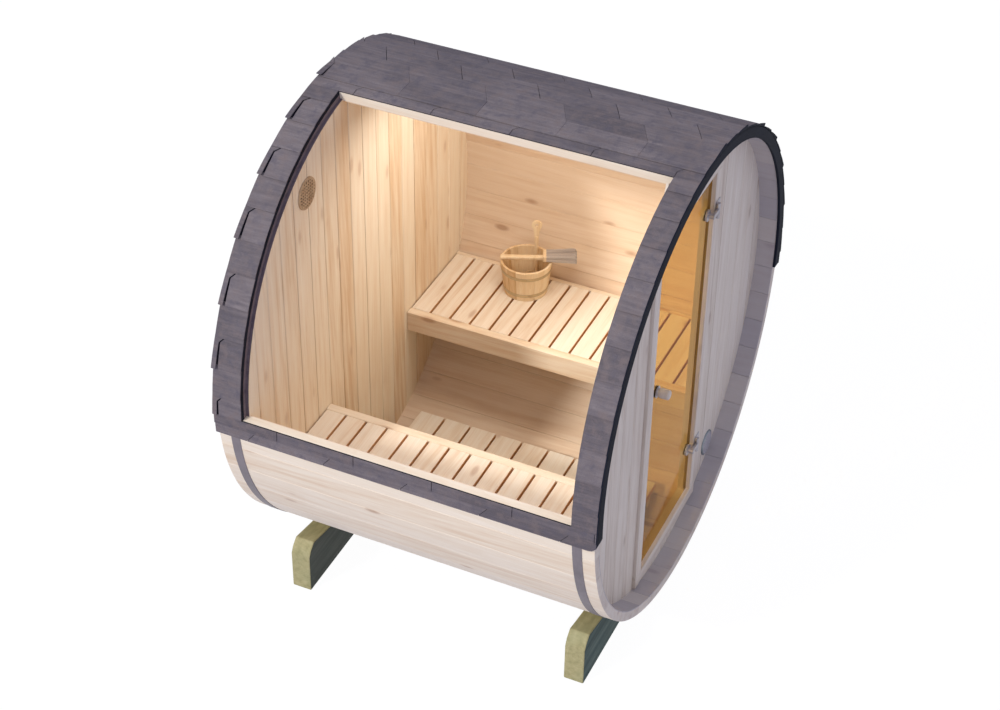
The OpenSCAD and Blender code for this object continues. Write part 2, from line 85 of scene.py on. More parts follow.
def upright_middle(node):
    """Middle of a node in x and z."""
    low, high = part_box(node)
    return (low.x + high.x) / 2, (low.z + high.z) / 2


# Materials


class Graph:
    """Short calls for the nodes of one material."""

    def __init__(self, name):
        self.mat = bpy.data.materials.new(name)
        self.mat.use_nodes = True
        self.tree = self.mat.node_tree
        self.tree.nodes.clear()
        self.out = self.tree.nodes.new("ShaderNodeOutputMaterial")
        self.coords = self.tree.nodes.new("ShaderNodeTexCoord").outputs["Object"]

    def feed(self, socket, value):
        """Links a socket to a source, or sets its value. A colour of three numbers is opaque."""
        if isinstance(value, bpy.types.NodeSocket):
            self.tree.links.new(value, socket)
        elif socket.type == "RGBA" and len(value) == 3:
            socket.default_value = (*value, 1.0)
        else:
            socket.default_value = value

    def add(self, kind, inputs=(), **settings):
        node = self.tree.nodes.new(kind)
        for key, value in settings.items():
            setattr(node, key, value)
        for key, value in dict(inputs).items():
            self.feed(node.inputs[key], value)
        return node

    def math(self, op, a, b=0.0, c=0.0, clamp=False):
        return self.add("ShaderNodeMath", {0: a, 1: b, 2: c}, operation=op, use_clamp=clamp).outputs[0]

    def vec(self, op, a, b):
        return self.add("ShaderNodeVectorMath", {0: a, 1: b}, operation=op).outputs[0]

    def axes(self, vector):
        return self.add("ShaderNodeSeparateXYZ", {0: vector}).outputs

    def xyz(self, x, y, z):
        return self.add("ShaderNodeCombineXYZ", {0: x, 1: y, 2: z}).outputs[0]

    def radius(self, a, b):
        return self.math("SQRT", self.math("ADD", self.math("MULTIPLY", a, a), self.math("MULTIPLY", b, b)))

    def noise(self, vector, scale, detail=3.0, rough=0.55, distortion=0.0):
        return self.add(
            "ShaderNodeTexNoise",
            {"Vector": vector, "Scale": scale, "Detail": detail, "Roughness": rough, "Distortion": distortion},
        ).outputs["Fac"]

    def ramp(self, fac, stops):
        node = self.add("ShaderNodeValToRGB", {"Fac": fac})
        band = node.color_ramp
        while len(band.elements) < len(stops):
            band.elements.new(0.5)
        for element, (at, colour) in zip(band.elements, stops):
            element.position = at
            element.color = (*colour, 1.0)
        return node.outputs["Color"]

    def span(self, value, low, high, to_low=0.0, to_high=1.0):
        return self.add(
            "ShaderNodeMapRange",
            {"Value": value, "From Min": low, "From Max": high, "To Min": to_low, "To Max": to_high},
        ).outputs[0]

    def mix(self, fac, a, b, blend="MIX"):
        return self.add("ShaderNodeMix", {0: fac, 6: a, 7: b}, data_type="RGBA", blend_type=blend).outputs[2]

    def attribute(self, name, output="Fac"):
        return self.add("ShaderNodeAttribute", attribute_name=name).outputs[output]

    def bump(self, height, strength, distance):
        return self.add(
            "ShaderNodeBump", {"Height": height, "Strength": strength, "Distance": distance}
        ).outputs["Normal"]

    def surface(self, **sockets):
        inputs = {key.replace("_", " "): value for key, value in sockets.items()}
        shader = self.add("ShaderNodeBsdfPrincipled", inputs)
        self.tree.links.new(shader.outputs[0], self.out.inputs["Surface"])
        return self.mat


RINGS_PER_METRE = 150.0
RING_WOBBLE = 0.022
KNOT_PULL = 0.012


def board_wood(name, grain, pale, mid, dark, knot, tone_span=0.28, knots=1.0, painted_shade=None):
    """Planed softwood. Growth rings run round each board's own pith, along the grain axis."""
    g = Graph(name)
    tone = g.attribute("tone")
    local = g.vec("SUBTRACT", g.coords, g.attribute("pith", "Vector"))
    axes = g.axes(local)
    order = {"x": (0, 1, 2), "y": (1, 2, 0), "z": (2, 0, 1)}[grain]
    along, across, deep = (axes[i] for i in order)
    lean = g.math("MULTIPLY", along, g.math("SUBTRACT", g.math("MULTIPLY", tone, 0.09), 0.045))
    u = g.math("ADD", across, lean)
    seed = g.math("MULTIPLY", tone, 31.0)
    stretched = g.xyz(g.math("MULTIPLY_ADD", along, 0.06, seed), u, deep)
    wobble = g.math("SUBTRACT", g.noise(stretched, 14.0, 3.0), 0.5)
    knot_space = g.xyz(
        g.math("MULTIPLY_ADD", along, 3.4, seed), g.math("MULTIPLY", u, 8.5), g.math("MULTIPLY", deep, 8.5)
    )
    cell = g.add("ShaderNodeTexVoronoi", {"Vector": knot_space, "Scale": 1.0, "Randomness": 1.0}, feature="F1")
    near_knot = g.span(cell.outputs["Distance"], 0.42, 0.08)
    ring_r = g.math("ADD", g.radius(u, deep), g.math("MULTIPLY", wobble, RING_WOBBLE))
    ring_r = g.math("MULTIPLY_ADD", g.math("MULTIPLY", near_knot, near_knot), KNOT_PULL * knots, ring_r)
    rings = g.math("FRACT", g.math("MULTIPLY", ring_r, RINGS_PER_METRE))
    late = g.math("POWER", rings, 2.2)
    fibre = g.noise(stretched, 210.0, 2.0, 0.6)
    streak = g.noise(stretched, 38.0, 4.0, 0.6)
    body = g.ramp(
        g.math("MULTIPLY_ADD", g.math("SUBTRACT", tone, 0.5), tone_span * 2, g.span(streak, 0.22, 0.80)),
        [(0.05, pale), (0.5, mid), (0.98, dark)],
    )
    colour = g.mix(g.math("MULTIPLY", late, 0.22), body, dark)
    colour = g.mix(g.math("MULTIPLY", g.span(fibre, 0.45, 0.8), 0.14), colour, dark)
    halo = g.math("MULTIPLY", g.span(cell.outputs["Distance"], 0.3, 0.13), 0.45 * knots, clamp=True)
    colour = g.mix(halo, colour, dark)
    heart = g.math("MULTIPLY", g.span(cell.outputs["Distance"], 0.15, 0.07), 0.85 * knots, clamp=True)
    colour = g.mix(heart, colour, knot)
    # Painted shade: the shell's inner faces beyond the end walls, and at half strength the stave end faces, are mixed
    # towards a lilac-grey shade colour. The inner faces inside the cabin are tinted darker and pinker as painted warm
    # shade.
    if painted_shade:
        x, y, z = g.axes(g.vec("SUBTRACT", g.coords, (0.0, 0.0, AXIS_Z)))
        off_middle = g.math("ABSOLUTE", y)
        inside = g.math("LESS_THAN", g.radius(x, z), SHELL_IN + 0.004)
        overhang_shade = g.math("MULTIPLY", inside, g.math("GREATER_THAN", off_middle, WALL_OUT))
        end_face_shade = g.math("MULTIPLY", g.math("GREATER_THAN", off_middle, END_Y - 0.001), 0.5)
        overhang_shade = g.math("MAXIMUM", overhang_shade, end_face_shade)
        cabin = g.math("MULTIPLY", inside, g.math("LESS_THAN", off_middle, WALL_OUT))
        colour = g.mix(cabin, colour, (0.89, 0.80, 0.74), "MULTIPLY")
        colour = g.mix(g.math("MULTIPLY", overhang_shade, g.span(tone, 0.0, 1.0, 0.58, 0.84)), colour, painted_shade)
    relief = g.math("ADD", g.math("MULTIPLY", fibre, 0.5), g.math("MULTIPLY", late, 0.5))
    return g.surface(
        Base_Color=colour,
        Roughness=g.span(streak, 0.2, 0.8, 0.47, 0.67),
        Normal=g.bump(relief, 0.22, 0.0012),
    )


PINE = dict(pale=(0.908, 0.805, 0.645), mid=(0.862, 0.725, 0.552), dark=(0.71, 0.505, 0.315), knot=(0.38, 0.17, 0.08))
SLAT_TONES = dict(pale=(0.92, 0.85, 0.73), mid=(0.88, 0.78, 0.64), dark=(0.75, 0.58, 0.41), knot=(0.38, 0.17, 0.08))
SHELL_TONES = dict(pale=(0.92, 0.83, 0.69), mid=(0.88, 0.77, 0.61), dark=(0.77, 0.61, 0.44), knot=(0.38, 0.20, 0.11))
# Greyer, darker pine tones as painted shade, for the front wall and door frame on the end that faces away from the
# key light.
FRONT_SHADE_TONES = dict(pale=(0.80, 0.73, 0.64), mid=(0.74, 0.66, 0.56), dark=(0.57, 0.47, 0.38), knot=(0.32, 0.21, 0.15))

stave_wood = board_wood("stave pine", "y", **SHELL_TONES, tone_span=0.2, knots=0.7, painted_shade=(0.345, 0.335, 0.39))
wall_wood = board_wood("back wall pine", "z", **PINE, tone_span=0.3, knots=0.35)
front_wood = board_wood("front wall pine", "z", **FRONT_SHADE_TONES, tone_span=0.2, knots=0.6)
jamb_wood = board_wood("door jamb pine", "z", **FRONT_SHADE_TONES, tone_span=0.1, knots=0.2)
head_wood = board_wood("door head pine", "x", **FRONT_SHADE_TONES, tone_span=0.1, knots=0.2)
slat_wood = board_wood("bench slat pine", "x", **SLAT_TONES, tone_span=0.15, knots=0.5)
# Darker, more orange pine on the slat sides that face the gaps: painted shade between the slats.
slat_side_shade = board_wood(
    "bench slat side pine in painted shade", "x", pale=(0.80, 0.50, 0.27), mid=(0.74, 0.43, 0.21), dark=(0.62, 0.33, 0.14),
    knot=(0.30, 0.13, 0.06), knots=0.0,
)
rail_wood = board_wood("bench rail pine", "y", **PINE, tone_span=0.15, knots=0.6)
bucket_wood = board_wood(
    "bucket pine", "z", pale=(0.88, 0.72, 0.49), mid=(0.82, 0.62, 0.38), dark=(0.62, 0.40, 0.19),
    knot=(0.3, 0.15, 0.06), tone_span=0.35, knots=0.0,
)
# Dark brown panel behind the board joints: painted shade in the joints.
joint_shade_wood = board_wood(
    "shaded joint pine", "z", pale=(0.34, 0.21, 0.12), mid=(0.28, 0.16, 0.09), dark=(0.20, 0.11, 0.06),
    knot=(0.14, 0.07, 0.04), knots=0.0,
)


def treated_timber(name, pale, mid, dark, green):
    """Pressure-treated plank with growth rings and greener blotches."""
    g = Graph(name)
    along, across, deep = g.axes(g.vec("SUBTRACT", g.coords, g.attribute("pith", "Vector")))
    stretched = g.xyz(g.math("MULTIPLY", along, 0.07), across, deep)
    ring_r = g.math("MULTIPLY_ADD", g.noise(stretched, 16.0), 0.03, g.radius(across, deep))
    rings = g.math("FRACT", g.math("MULTIPLY", ring_r, 95.0))
    streak = g.noise(stretched, 40.0, 4.0)
    blotch = g.noise(g.coords, 7.0, 3.0)
    colour = g.ramp(g.span(streak, 0.28, 0.74), [(0.0, pale), (0.55, mid), (1.0, dark)])
    colour = g.mix(g.math("MULTIPLY", g.math("POWER", rings, 2.0), 0.35), colour, dark)
    colour = g.mix(g.math("MULTIPLY", g.span(blotch, 0.45, 0.75), 0.4), colour, green)
    return g.surface(
        Base_Color=colour,
        Roughness=g.span(streak, 0.2, 0.8, 0.6, 0.8),
        Normal=g.bump(streak, 0.3, 0.002),
    )


def mineral_shingle():
    """Bitumen shingle with a coat of mineral grains, streaked along the courses."""
    g = Graph("mineral shingle")
    tone = g.attribute("tone")
    x, y, z = g.axes(g.coords)
    streak = g.noise(g.xyz(x, g.math("MULTIPLY", y, 0.08), z), 75.0, 3.0, 0.6)
    cloud = g.noise(g.coords, 5.0, 3.0, 0.6)
    grain = g.noise(g.coords, 900.0, 1.0, 0.6)
    grit = g.add("ShaderNodeTexVoronoi", {"Vector": g.coords, "Scale": 520.0}, feature="F1")
    level = g.math("ADD", g.math("MULTIPLY", streak, 0.5), g.math("MULTIPLY", cloud, 0.3))
    level = g.math("MULTIPLY_ADD", tone, 0.2, level)
    colour = g.ramp(
        g.span(level, 0.36, 0.68),
        [(0.0, (0.108, 0.094, 0.104)), (0.5, (0.182, 0.158, 0.168)), (1.0, (0.272, 0.236, 0.241))],
    )
    patch = g.noise(g.coords, 24.0, 4.0, 0.65)
    colour = g.mix(g.span(patch, 0.5, 0.68, 0.0, 0.7), colour, (0.225, 0.175, 0.163))
    colour = g.mix(g.span(patch, 0.47, 0.3, 0.0, 0.7), colour, (0.097, 0.092, 0.125))
    colour = g.mix(g.span(grain, 0.35, 0.75, 0.0, 0.4), colour, (0.28, 0.25, 0.27))
    colour = g.mix(g.span(grit.outputs["Distance"], 0.25, 0.6, 0.0, 0.35), colour, (0.07, 0.06, 0.07))
    return g.surface(Base_Color=colour, Roughness=0.92, Specular_IOR_Level=0.3, Normal=g.bump(grain, 0.5, 0.0015))


def bitumen_and_shade():
    """Dark felt under the shingles and dark board on the stave ends. It is also used for dark pieces that are painted
    shade: the felt where it shows in the slits, the wedges at the front end, the caps on the cut faces and the discs
    behind the vent screens.
    """
    g = Graph("bitumen and painted shade")
    fine = g.noise(g.coords, 260.0, 3.0)
    cloud = g.noise(g.coords, 12.0, 3.0)
    colour = g.ramp(g.span(cloud, 0.3, 0.7), [(0.0, (0.004, 0.006, 0.015)), (1.0, (0.008, 0.011, 0.024))])
    return g.surface(
        Base_Color=colour, Roughness=g.span(fine, 0.3, 0.7, 0.65, 0.85), Specular_IOR_Level=0.15,
        Normal=g.bump(fine, 0.3, 0.001),
    )


def dull_steel():
    """Rolled band steel, matt grey with faint streaks round the barrel."""
    g = Graph("hoop steel")
    x, y, z = g.axes(g.coords)
    streak = g.noise(g.xyz(g.math("MULTIPLY", x, 0.1), y, g.math("MULTIPLY", z, 0.1)), 300.0, 3.0)
    stain = g.noise(g.coords, 9.0, 4.0)
    colour = g.ramp(g.span(stain, 0.3, 0.72), [(0.0, (0.24, 0.21, 0.23)), (1.0, (0.17, 0.15, 0.165))])
    return g.surface(
        Base_Color=colour, Metallic=0.25, Roughness=g.span(streak, 0.3, 0.7, 0.45, 0.62),
        Normal=g.bump(streak, 0.15, 0.0006),
    )


def satin_steel(name, colour_low, colour_high, rough, metal=0.85):
    """Brushed or painted metal with faint clouds."""
    g = Graph(name)
    streak = g.noise(g.coords, 420.0, 3.0, 0.6, 0.4)
    cloud = g.noise(g.coords, 30.0, 2.0)
    colour = g.ramp(g.span(cloud, 0.3, 0.7), [(0.0, colour_low), (1.0, colour_high)])
    return g.surface(
        Base_Color=colour, Metallic=metal, Roughness=g.span(streak, 0.2, 0.8, rough - 0.07, rough + 0.09),
        Normal=g.bump(streak, 0.1, 0.0003),
    )


def bronze_glass():
    """Bronze-tinted safety glass, coated so that it hardly mirrors."""
    g = Graph("bronze glass")
    cloud = g.noise(g.coords, 2.2, 1.0)
    tint = g.ramp(g.span(cloud, 0.3, 0.7), [(0.0, (0.515, 0.35, 0.118)), (1.0, (0.553, 0.378, 0.14))])
    return g.surface(Base_Color=tint, Roughness=0.0, IOR=1.05, Transmission_Weight=1.0)


def bristle():
    """Grey brush fibre, each bundle with its own tone."""
    g = Graph("grey bristle")
    tone = g.attribute("tone")
    band = g.noise(g.coords, 160.0, 2.0)
    level = g.math("MULTIPLY_ADD", tone, 0.7, g.math("MULTIPLY", band, 0.3))
    colour = g.ramp(level, [(0.1, (0.30, 0.25, 0.22)), (0.55, (0.45, 0.39, 0.35)), (0.95, (0.62, 0.55, 0.48))])
    return g.surface(Base_Color=colour, Roughness=0.7, Normal=g.bump(band, 0.2, 0.0005))


cradle_timber = treated_timber(
    "treated cradle ends", (0.47, 0.42, 0.22), (0.39, 0.35, 0.17), (0.28, 0.26, 0.12), (0.30, 0.32, 0.17)
)
# Darker green than the ends and top for the faces that look along the barrel: partly the timber's own colour and
# partly painted shade.
cradle_face_shade = treated_timber(
    "treated cradle face", (0.070, 0.118, 0.098), (0.048, 0.090, 0.078), (0.034, 0.060, 0.052), (0.022, 0.085, 0.082)
)
# A darker copy for the back cradle: painted shade under the barrel.
shaded_face = treated_timber(
    "treated cradle face in shade", (0.042, 0.052, 0.036), (0.029, 0.039, 0.027), (0.020, 0.028, 0.020),
    (0.016, 0.036, 0.026),
)
# Dark lilac-grey for the cut faces of the staves and boards at the cut-away: painted shade.
stave_end_shade = treated_timber(
    "stave ends in painted shade", (0.20, 0.155, 0.175), (0.16, 0.12, 0.14), (0.10, 0.075, 0.09), (0.14, 0.11, 0.15)
)
shingle_mat = mineral_shingle()
edge_mat = bitumen_and_shade()
hoop_steel = dull_steel()
hinge_steel = satin_steel("satin hinge steel", (0.40, 0.38, 0.40), (0.50, 0.48, 0.50), 0.48, 0.4)
vent_mesh = satin_steel("woven vent wire", (0.42, 0.27, 0.15), (0.58, 0.41, 0.25), 0.55, 0.1)
front_mesh = satin_steel("front vent wire", (0.44, 0.42, 0.45), (0.54, 0.52, 0.55), 0.5, 0.1)
vent_ring = satin_steel("front vent rim", (0.20, 0.24, 0.27), (0.30, 0.33, 0.36), 0.4)
band_metal = satin_steel("bucket band", (0.50, 0.40, 0.25), (0.62, 0.50, 0.32), 0.35)
glass_mat = bronze_glass()
bristle_mat = bristle()


# Making pieces

EVEN_SPREAD = (0.05, 0.05, 0.05)


class Work:
    """A bmesh whose boards each carry their own pith line and tone. The board in hand is the one not yet closed."""

    def __init__(self):
        self.bm = bmesh.new()
        self.tone = self.bm.verts.layers.float.new("tone")
        self.pith = self.bm.verts.layers.float_vector.new("pith")
        self.done = self.bm.verts.layers.int.new("done")

    def fresh(self):
        """Vertices of the board in hand."""
        return [v for v in self.bm.verts if v[self.done] == 0]

    def fresh_edges(self, sharp=None):
        """Edges of the board in hand, all of them or those with a face angle above sharp."""
        edges = list(dict.fromkeys(e for v in self.fresh() for e in v.link_edges))
        if sharp is None:
            return edges
        return [e for e in edges if len(e.link_faces) == 2 and e.calc_face_angle() > math.radians(sharp)]

    def fresh_faces(self):
        return list(dict.fromkeys(f for v in self.fresh() for f in v.link_faces))

    def face_out(self):
        bmesh.ops.recalc_face_normals(self.bm, faces=self.fresh_faces())

    def push(self, vec):
        """Gives the flat board in hand its thickness along a vector."""
        made = bmesh.ops.extrude_face_region(self.bm, geom=self.fresh_faces())["geom"]
        bmesh.ops.translate(self.bm, verts=[v for v in made if isinstance(v, bmesh.types.BMVert)], vec=vec)

    def cut(self, point, outward, faces=None, clear=True, dist=1e-7):
        """Cuts the board in hand, or some faces, along a plane, and drops what lies outside if clear is set."""
        if faces is None:
            geom = self.fresh() + self.fresh_edges() + self.fresh_faces()
        else:
            verts = dict.fromkeys(v for f in faces for v in f.verts)
            geom = [*verts, *dict.fromkeys(e for f in faces for e in f.edges), *faces]
        bmesh.ops.bisect_plane(self.bm, geom=geom, dist=dist, plane_co=point, plane_no=outward, clear_outer=clear)

    def bevel(self, edges, width, segments):
        bmesh.ops.bevel(
            self.bm, geom=edges, offset=width, offset_type="OFFSET", affect="EDGES",
            segments=segments, profile=0.5, material=-1, clamp_overlap=True,
        )

    def ease(self, width, segments=2, sharp=35.0):
        """Rounds the sharp edges of the board in hand."""
        self.bm.normal_update()
        self.bevel(self.fresh_edges(sharp), width, segments)

    def close(self, spread=EVEN_SPREAD, tone=None, material=0):
        """Ends the board in hand: gives it a pith line near its middle and a tone."""
        verts = self.fresh()
        middle = sum((v.co for v in verts), Vector()) / len(verts)
        pith = middle + Vector([rng.uniform(-s, s) for s in spread])
        shade = rng.random() if tone is None else tone
        if material:
            for f in self.fresh_faces():
                f.material_index = material
        for v in verts:
            v[self.tone] = shade
            v[self.pith] = pith
            v[self.done] = 1

    def box(self, low, high, ease=0.003, segments=2, turn=None, **close):
        """Bar between two corners, with eased edges."""
        low, high = Vector(low), Vector(high)
        place = Matrix.Translation((low + high) / 2) @ Matrix.Diagonal((*(high - low), 1.0))
        if turn is not None:
            place = turn @ place
        bmesh.ops.create_cube(self.bm, size=1.0, matrix=place)
        if ease:
            self.ease(ease, segments)
        self.close(**close)

    def plate(self, points, vec, ease=0.0, segments=2, **close):
        """Flat outline pushed along a vector."""
        self.bm.faces.new([self.bm.verts.new(p) for p in points])
        self.push(vec)
        self.face_out()
        if ease:
            self.ease(ease, segments)
        self.close(**close)

    def bent_bar(self, r0, r1, a0, a1, y0, y1, steps, **plate):
        """Bar along the barrel, curved between two radii and two angles."""
        outer, inner = arc(r1, a0, a1, y0, steps), arc(r0, a0, a1, y0, steps)
        self.plate(outer + inner[::-1], Vector((0, y1 - y0, 0)), **plate)

    def turned(self, profile, place, steps=48, angle=360.0, **close):
        """Profile of (radius, height) points spun about the Z axis of a placing matrix."""
        verts = [self.bm.verts.new((r, 0.0, h)) for r, h in profile]
        edges = [self.bm.edges.new(pair) for pair in zip(verts, verts[1:])]
        full = abs(angle - 360.0) < 1e-6
        bmesh.ops.spin(
            self.bm, geom=verts + edges, cent=(0, 0, 0), axis=(0, 0, 1), angle=math.radians(angle),
            steps=steps, use_merge=full,
        )
        bmesh.ops.remove_doubles(self.bm, verts=self.fresh(), dist=1e-6)
        if not full:
            edges = [e for e in self.fresh_edges() if e.is_boundary]
            bmesh.ops.holes_fill(self.bm, edges=edges, sides=0)
        self.face_out()
        bmesh.ops.transform(self.bm, matrix=place, verts=self.fresh())
        self.close(**close)

    def piece(self, name, materials, replaces=(), body="sauna", sharp=38.0):
        """Makes the finished mesh an object that rides a body and takes the place of its CAD nodes."""
        self.bm.verts.layers.int.remove(self.done)
        mesh = bpy.data.meshes.new(name)
        self.bm.to_mesh(mesh)
        self.bm.free()
        for m in materials:
            mesh.materials.append(m)
        mesh.polygons.foreach_set("use_smooth", [True] * len(mesh.polygons))
        mesh.set_sharp_from_angle(angle=math.radians(sharp))
        obj = bpy.data.objects.new(name, mesh)
        bpy.context.scene.collection.objects.link(obj)
        weigh = obj.modifiers.new("even shading", "WEIGHTED_NORMAL")
        weigh.keep_sharp = True
        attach(obj, body)
        if replaces:
            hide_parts(*replaces)
        return obj


# Shell

# Half of the open joint between two staves
STAVE_GAP = 0.0004
STAVE_EASE = 0.0010
RIM_END_DEG = 6.0


def stave(work, a0, a1, y0, y1):
    """One stave: its curved outline pushed along the barrel, edges eased so that the joints show."""
    gap = math.degrees(STAVE_GAP / SHELL_R)
    work.bent_bar(
        SHELL_IN, SHELL_R, a0 + gap, a1 - gap, y0, y1, 4, ease=STAVE_EASE, segments=1, spread=(0.09, 0.6, 0.09)
    )


def stave_run(name, node, k0, k1, y0, y1, last=None):
    """Neighbouring staves, counted from the upper edge of the cut-away, and one of another width at the end."""
    work = Work()
    for k in range(k0, k1):
        stave(work, CUT_HIGH + k * STAVE_DEG, CUT_HIGH + (k + 1) * STAVE_DEG, y0, y1)
    if last:
        stave(work, *last, y0, y1)
    return work.piece(name, [stave_wood], [node])


stave_run("shell_top", "staves_top", 0, 7, -END_Y, END_Y)
stave_run("shell_far_side", "staves_far", 7, 19, -END_Y, END_Y)
stave_run("shell_bottom", "staves_bottom", 19, 30, -END_Y, END_Y)
stave_run("shell_near_side", "staves_near", 30, 36, -END_Y, END_Y, last=(CUT_HIGH + 36 * STAVE_DEG, 360.0))
stave_run("rim_staves_at_front", "rim_staves_front", -10, 0, -END_Y, CUT_FRONT, last=(0.0, RIM_END_DEG))
stave_run("rim_staves_at_back", "rim_staves_back", -10, 0, CUT_BACK, END_Y, last=(0.0, RIM_END_DEG))


HOOP_T = 0.002
HOOP_EASE = 0.0006


def steel_hoop(name, node):
    """Flat band round the barrel."""
    low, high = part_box(node)
    outer, half = (high.x - low.x) / 2, (high.y - low.y) / 2
    inner, shy = outer - HOOP_T, outer - HOOP_EASE
    work = Work()
    profile = [
        (inner, -half), (shy, -half), (outer, HOOP_EASE - half), (outer, half - HOOP_EASE),
        (shy, half), (inner, half), (inner, -half),
    ]
    work.turned(profile, Matrix.Translation((0, (low.y + high.y) / 2, AXIS_Z)) @ ALONG_Y, steps=180)
    return work.piece(name, [hoop_steel], [node])


steel_hoop("front_hoop", "hoop_front")
steel_hoop("back_hoop", "hoop_back")


# Cradles

CRADLE_END_H = 0.185
CRADLE_CORNER = 0.046
# Share of the corner's run, and rise, at which its slope changes
CORNER_KNEE = (0.3, 0.030)
SADDLE_DEG = 25.43
SADDLE_GAP = 0.0004


def paint_ends(work, upright):
    """Gives the faces that look along the barrel the second material, a darker one that carries painted shade."""
    work.bm.normal_update()
    for f in work.bm.faces:
        f.material_index = 1 if abs(f.normal.y) > upright else 0


def cradle(name, node, face):
    """Plank on edge with a round saddle and a horn with a broken corner at each end."""
    low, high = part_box(node)
    half = (high.x - low.x) / 2
    share, rise = CORNER_KNEE
    horn = [
        (half, CRADLE_END_H), (half - CRADLE_CORNER * share, CRADLE_END_H + rise), (half - CRADLE_CORNER, high.z)
    ]
    saddle = arc(SHELL_R + SADDLE_GAP, 270 - SADDLE_DEG, 270 + SADDLE_DEG, low.y, 20)
    points = [Vector((x, low.y, z)) for x, z in [(-half, 0), (half, 0), *horn]]
    points += sorted(saddle, key=lambda p: -p.x)
    points += [Vector((-x, low.y, z)) for x, z in reversed(horn)]
    work = Work()
    work.plate(points, Vector((0, high.y - low.y, 0)), ease=0.006, segments=3, spread=(0.1, 0.03, 0.06))
    paint_ends(work, 0.95)
    return work.piece(name, [cradle_timber, face], [node])


cradle("front_cradle", "cradle_front", cradle_face_shade)
cradle("back_cradle", "cradle_back", shaded_face)


# End walls

WALL_EDGE = WALL_R - 0.001
# Depth by which the inner top edge of a front board is cut back beside the cut-away
RIM_SCRIBE = 0.058
CUT_SIDE_X = -0.16
BOARD_W = 0.1135
BOARD_MIN = 0.012
BOARD_EASE = 0.0030
JOINT_AT = -0.003
JOINT_GAP = 0.0036
PANEL_INSET = 0.010
BORE_R = 0.0485
BORE_SIDES = 24


def at_cut_away(spot, depth):
    """True for a place on the wall's rim, within a depth, on the side of the cut-away."""
    up = spot.z - AXIS_Z
    return spot.x < CUT_SIDE_X and up > 0 and math.hypot(spot.x, up) > WALL_R - depth


def scribe(v, x0, x1):
    """Moves a vertex of a board's inner top edge down to a smaller circle, along it on the outermost board."""
    small = WALL_R - RIM_SCRIBE
    if x0 > -small:
        v.co.z = AXIS_Z + math.sqrt(small ** 2 - v.co.x ** 2)
        return
    share = math.atan2(v.co.z - AXIS_Z, -v.co.x) / math.acos(-x1 / WALL_R)
    a = share * math.acos(-x1 / small)
    v.co.x, v.co.z = -small * math.cos(a), AXIS_Z + small * math.sin(a)


def cut_bore(work, at):
    """Cuts a round hole in the flat board in hand, if it reaches the place of a vent."""
    x, z = at
    across = [v.co.x for v in work.fresh()]
    if not across or min(across) > x + BORE_R or max(across) < x - BORE_R:
        return
    centre = Vector((x, 0, z))
    band = BORE_R * 1.05
    for side in (-band, band):
        work.cut((x, 0, z + side), (0, 0, 1), clear=False)

    def off_centre(face):
        return face.calc_center_median() - centre

    for k in range(BORE_SIDES):
        a = math.tau * k / BORE_SIDES
        outward = Vector((math.cos(a), 0, math.sin(a)))
        near = [
            f for f in work.fresh_faces() if abs(off_centre(f).z) < band and abs(off_centre(f).x) < 2 * BOARD_W
        ]
        work.cut(centre + outward * BORE_R, outward, near, clear=False)
    plug = [f for f in work.fresh_faces() if off_centre(f).xz.length < BORE_R * 0.999]
    bmesh.ops.delete(work.bm, geom=plug, context="FACES")


def wall_board(work, x0, x1, y0, y1, z0=-2.0, z1=2.0, scribed=False, material=0, bore=None):
    """Upright board cut from the wall's disc, its long edges eased for a V joint, its top scribed at the cut-away."""
    turn = Matrix.Translation((0, y0, AXIS_Z)) @ ALONG_Y
    bmesh.ops.create_circle(work.bm, cap_ends=True, segments=240, radius=WALL_R, matrix=turn)
    work.cut((x0, 0, 0), (-1, 0, 0), dist=1e-6)
    work.cut((x1, 0, 0), (1, 0, 0), dist=1e-6)
    work.cut((0, 0, AXIS_Z + z0), (0, 0, -1), dist=1e-6)
    work.cut((0, 0, AXIS_Z + z1), (0, 0, 1), dist=1e-6)
    if bore:
        cut_bore(work, bore)
    if not work.fresh():
        return
    work.push((0, y1 - y0, 0))
    if scribed:
        for v in work.fresh():
            if v.co.y > (y0 + y1) / 2 and at_cut_away(v.co, 0.002):
                scribe(v, x0, x1)
    work.face_out()
    long_edges = [
        e for e in work.fresh_edges(35.0)
        if abs(e.verts[0].co.x - e.verts[1].co.x) < 1e-5 and abs(e.verts[0].co.y - e.verts[1].co.y) < 1e-5
    ]
    work.bevel(long_edges, BOARD_EASE, 1)
    work.close((0.06, 0.02, 0.8), material=material)


def wall_run(work, low_x, high_x, y0, y1, **board):
    """Boards side by side between two uprights, with a thinner dark panel inside that shows in their joints as
    painted shade.
    """
    joints = [JOINT_AT + k * BOARD_W for k in range(-9, 10)]
    edges = [low_x, *(x for x in joints if low_x + BOARD_MIN < x < high_x - BOARD_MIN), high_x]
    for x0, x1 in zip(edges, edges[1:]):
        wall_board(work, x0 + JOINT_GAP / 2, x1 - JOINT_GAP / 2, y0, y1, **board)
    wall_board(work, low_x, high_x, y0 + PANEL_INSET, y1 - PANEL_INSET, material=1, **board)


back_boards = Work()
wall_run(back_boards, -WALL_EDGE, WALL_EDGE, WALL_IN, WALL_OUT, bore=upright_middle("back_vent"))
back_boards.bm.normal_update()
# The boards' rim faces at the cut-away take the third material, painted shade.
for f in back_boards.bm.faces:
    if abs(f.normal.y) < 0.3 and at_cut_away(f.calc_center_median(), 0.004):
        f.material_index = 2
back_boards.piece("back_wall_boards", [wall_wood, joint_shade_wood, stave_end_shade], ["back_wall"])

